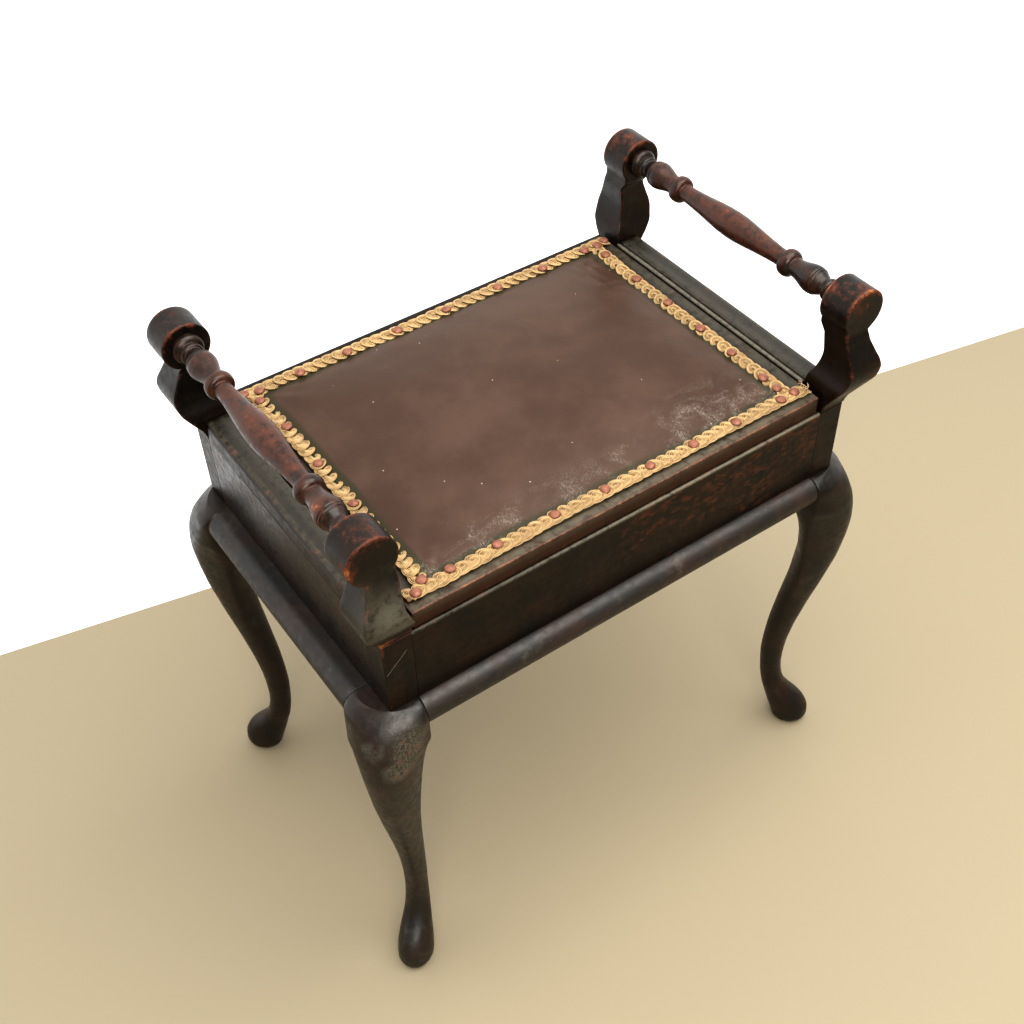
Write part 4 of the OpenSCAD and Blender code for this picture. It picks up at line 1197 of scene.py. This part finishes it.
def gimp_strip(start, stop, out, lift, rng, threads, shades, backing):
    """One length of scroll gimp: a looping band of threads on a thin backing strip."""
    start, stop, out = (np.array(v, float) for v in (start, stop, out))
    length = np.linalg.norm(stop - start)
    along = (stop - start) / length
    turns = int(round(length / SCROLL))
    steps = LOOP * turns
    wander = rng.uniform(0, 6, 2)

    def middle(u):
        """The strip's middle line, bowed in a little and not quite straight."""
        bow = -1.6 * math.sin(math.pi * u / length) + 0.5 * math.sin(u / 31 + wander[0])
        bow += 0.3 * math.sin(u / 13 + wander[1])
        return start + along * u + out * bow

    beat = np.cumsum(rng.normal(0, 0.06, turns + 2))
    loose = rng.normal(0, 0.5, turns + 2)
    flutter = rng.normal(0, 0.25, turns + 2)
    for thread in THREADS:
        line = []
        for k in range(steps + 1):
            t = k / LOOP
            turn = 2 * math.pi * (t + beat[int(t)] * 0.3)
            half = 4.4 + 1.05 * thread + 0.35 * math.sin(t * 1.7 + wander[0] + thread)
            v = half * math.cos(turn)
            u = length * t / turns + (5.0 + 0.95 * thread + loose[int(t)]) * math.sin(turn) + 0.42 * v
            p = middle(float(np.clip(u, 0, length))) + out * v
            z = lift + 1.05 * math.sin(turn) - 0.04 * thread * thread + 0.15 * math.cos(turn)
            z += flutter[int(t)] * math.sin(0.5 * turn)
            under_nail = NAIL_TOP - NAIL_H - THREAD_R + 0.2
            z = min(z, under_nail + 0.35 * max(0.0, nail_distance(p) - NAIL_R))
            line.append((p[0], p[1], z))
        tube(*threads, line, THREAD_R)
        shades += [rng.uniform(0, 1)] * (len(threads[0]) - len(shades))
    rings = steps // 2 + 1
    points, faces = backing
    faces += skin(rings, 4, len(points))
    for u in np.linspace(0, length, rings):
        for side, height in ((-1, -1.9), (-1, -0.9), (1, -0.9), (1, -1.9)):
            p = middle(u) + out * side * BACKING_HALF
            points.append((p[0], p[1], lift + height))


def gimp():
    """Four lengths of gimp that overlap at the corners."""
    rng = np.random.default_rng(5)
    threads, shades, backing = ([], []), [], ([], [])
    x1, y1 = GIMP_X, GIMP_Y
    over_x, over_y = GIMP_END - 1.0, GIMP_Y + GIMP_W / 2 - 2.0
    z = RIM_Z + 0.9
    for start, stop, out, lift in (
            ((x1, -over_y), (x1, over_y), (1, 0), z), ((-x1, over_y), (-x1, -over_y), (-1, 0), z),
            ((-over_x, -y1), (over_x, -y1), (0, -1), z + 0.5),
            ((over_x, y1), (-over_x, y1), (0, 1), z + 0.5)):
        gimp_strip(start, stop, out, lift, rng, threads, shades, backing)
    # Loose ends at the front right corner.
    for _ in range(7):
        a = rng.uniform(-0.9, 0.7)
        reach = rng.uniform(4, 9)
        x0, y0 = over_x - rng.uniform(0, 9), -y1 + rng.uniform(-7, 7)
        line = [(x0 + reach * t * math.cos(a + 1.2 * t), y0 + reach * t * math.sin(a + 1.2 * t),
                 z + 2.4 + 0.8 * math.sin(math.pi * t)) for t in np.linspace(0, 1, 9)]
        tube(*threads, line, 0.38)
    shades += [0.3] * (len(threads[0]) - len(shades))
    obj = make("gimp_threads", *threads)
    give(obj.data, "shade", shades)
    golden = straw("gimp_straw", (0.56, 0.405, 0.215), (0.20, 0.108, 0.040))
    finish_piece(obj, "lid", golden, ["gimp_braid"])
    cloth = straw("gimp_backing_cloth", (0.20, 0.120, 0.048), (0.08, 0.042, 0.017))
    finish_piece(make("gimp_backing", *backing), "lid", cloth, [])


gimp()

# ---- pieces kept from the frame ----

HINGE_PARTS = [f"{side}_hinge_{part}" for _, side in ENDS for part in ("box_leaf", "lid_leaf", "pin")]
kept = {
    pine(): ["bottom_board", "front_cleat", "back_cleat", "left_cleat", "right_cleat", "upright_dowels"],
    brass(): HINGE_PARTS + ["hinge_box_screws", "hinge_lid_screws"],
    steel(): ["box_screws"],
}
for material, names in kept.items():
    for name in names:
        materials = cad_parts[name].data.materials
        materials.clear()
        materials.append(material)

# ---- stage, light and camera ----

# The floor ends where a wall would stand, and the bright half of the world takes the wall's place.
WALL_A, WALL_B = Vector((-0.473, 0.475, 0)), Vector((1.068, 0.161, 0))
along_wall = (WALL_B - WALL_A).normalized()
to_wall = Vector((-along_wall.y, along_wall.x, 0))
floor_a, floor_b = WALL_A - 4 * along_wall, WALL_B + 4 * along_wall
mesh = bpy.data.meshes.new("floor")
mesh.from_pydata([floor_a, floor_a - 6 * to_wall, floor_b - 6 * to_wall, floor_b], [], [(0, 1, 2, 3)])
s = Shader("floor")
relief = s.bump(s.noise(30, detail=4), 0.05)
mesh.materials.append(s.done((0.300, 0.258, 0.184), 0.6, relief, specular=0.2))
added("floor", mesh)

for name, place, target, size, power, colour in (
        ("ceiling", (0.5, -0.8, 2.7), (0.5, -0.8, 0), (3.0, 2.4), 84, (1.0, 0.98, 0.93)),
        ("window", (-1.3, -2.3, 2.3), (0, 0, 0.4), (1.6, 1.3), 46, (1.0, 0.965, 0.89))):
    light = bpy.data.lights.new(name, "AREA")
    light.shape = "RECTANGLE"
    light.size, light.size_y = size
    light.energy = power
    light.color = colour
    obj = added(name, light)
    obj.location = place
    obj.rotation_euler = (Vector(target) - Vector(place)).to_track_quat("-Z", "Y").to_euler()

world = bpy.data.worlds.new("studio")
bpy.context.scene.world = world
world.use_nodes = True
nodes, links = world.node_tree.nodes, world.node_tree.links
facing = nodes.new("ShaderNodeVectorMath")
facing.operation = "DOT_PRODUCT"
links.new(nodes.new("ShaderNodeTexCoord").outputs["Generated"], facing.inputs[0])
facing.inputs[1].default_value = to_wall
level = nodes.new("ShaderNodeMapRange")
level.interpolation_type = "SMOOTHSTEP"
links.new(facing.outputs["Value"], level.inputs["Value"])
for name, value in (("From Min", -0.15), ("From Max", 0.15), ("To Min", 0.42), ("To Max", 1.2)):
    level.inputs[name].default_value = value
links.new(level.outputs["Result"], nodes["Background"].inputs["Strength"])
nodes["Background"].inputs["Color"].default_value = (1.0, 0.995, 0.98, 1)

camera = added("camera", bpy.data.cameras.new("camera"))
camera.location = (-0.5318, -0.7829, 1.3153)
forward = Vector((0.39532, 0.57655, -0.71506)).normalized()
right = Vector((0.81513, -0.57906, -0.01625)).normalized()
camera.rotation_euler = Matrix((right, right.cross(forward), -forward)).transposed().to_euler()
camera.data.sensor_width = 36.0
camera.data.lens = 47.49
camera.data.shift_x = -0.0146
camera.data.shift_y = 0.0077
camera.data.clip_start = 0.02
bpy.context.scene.camera = camera
bpy.context.scene.view_settings.view_transform = "Standard"
bpy.context.scene.view_settings.look = "High Contrast"
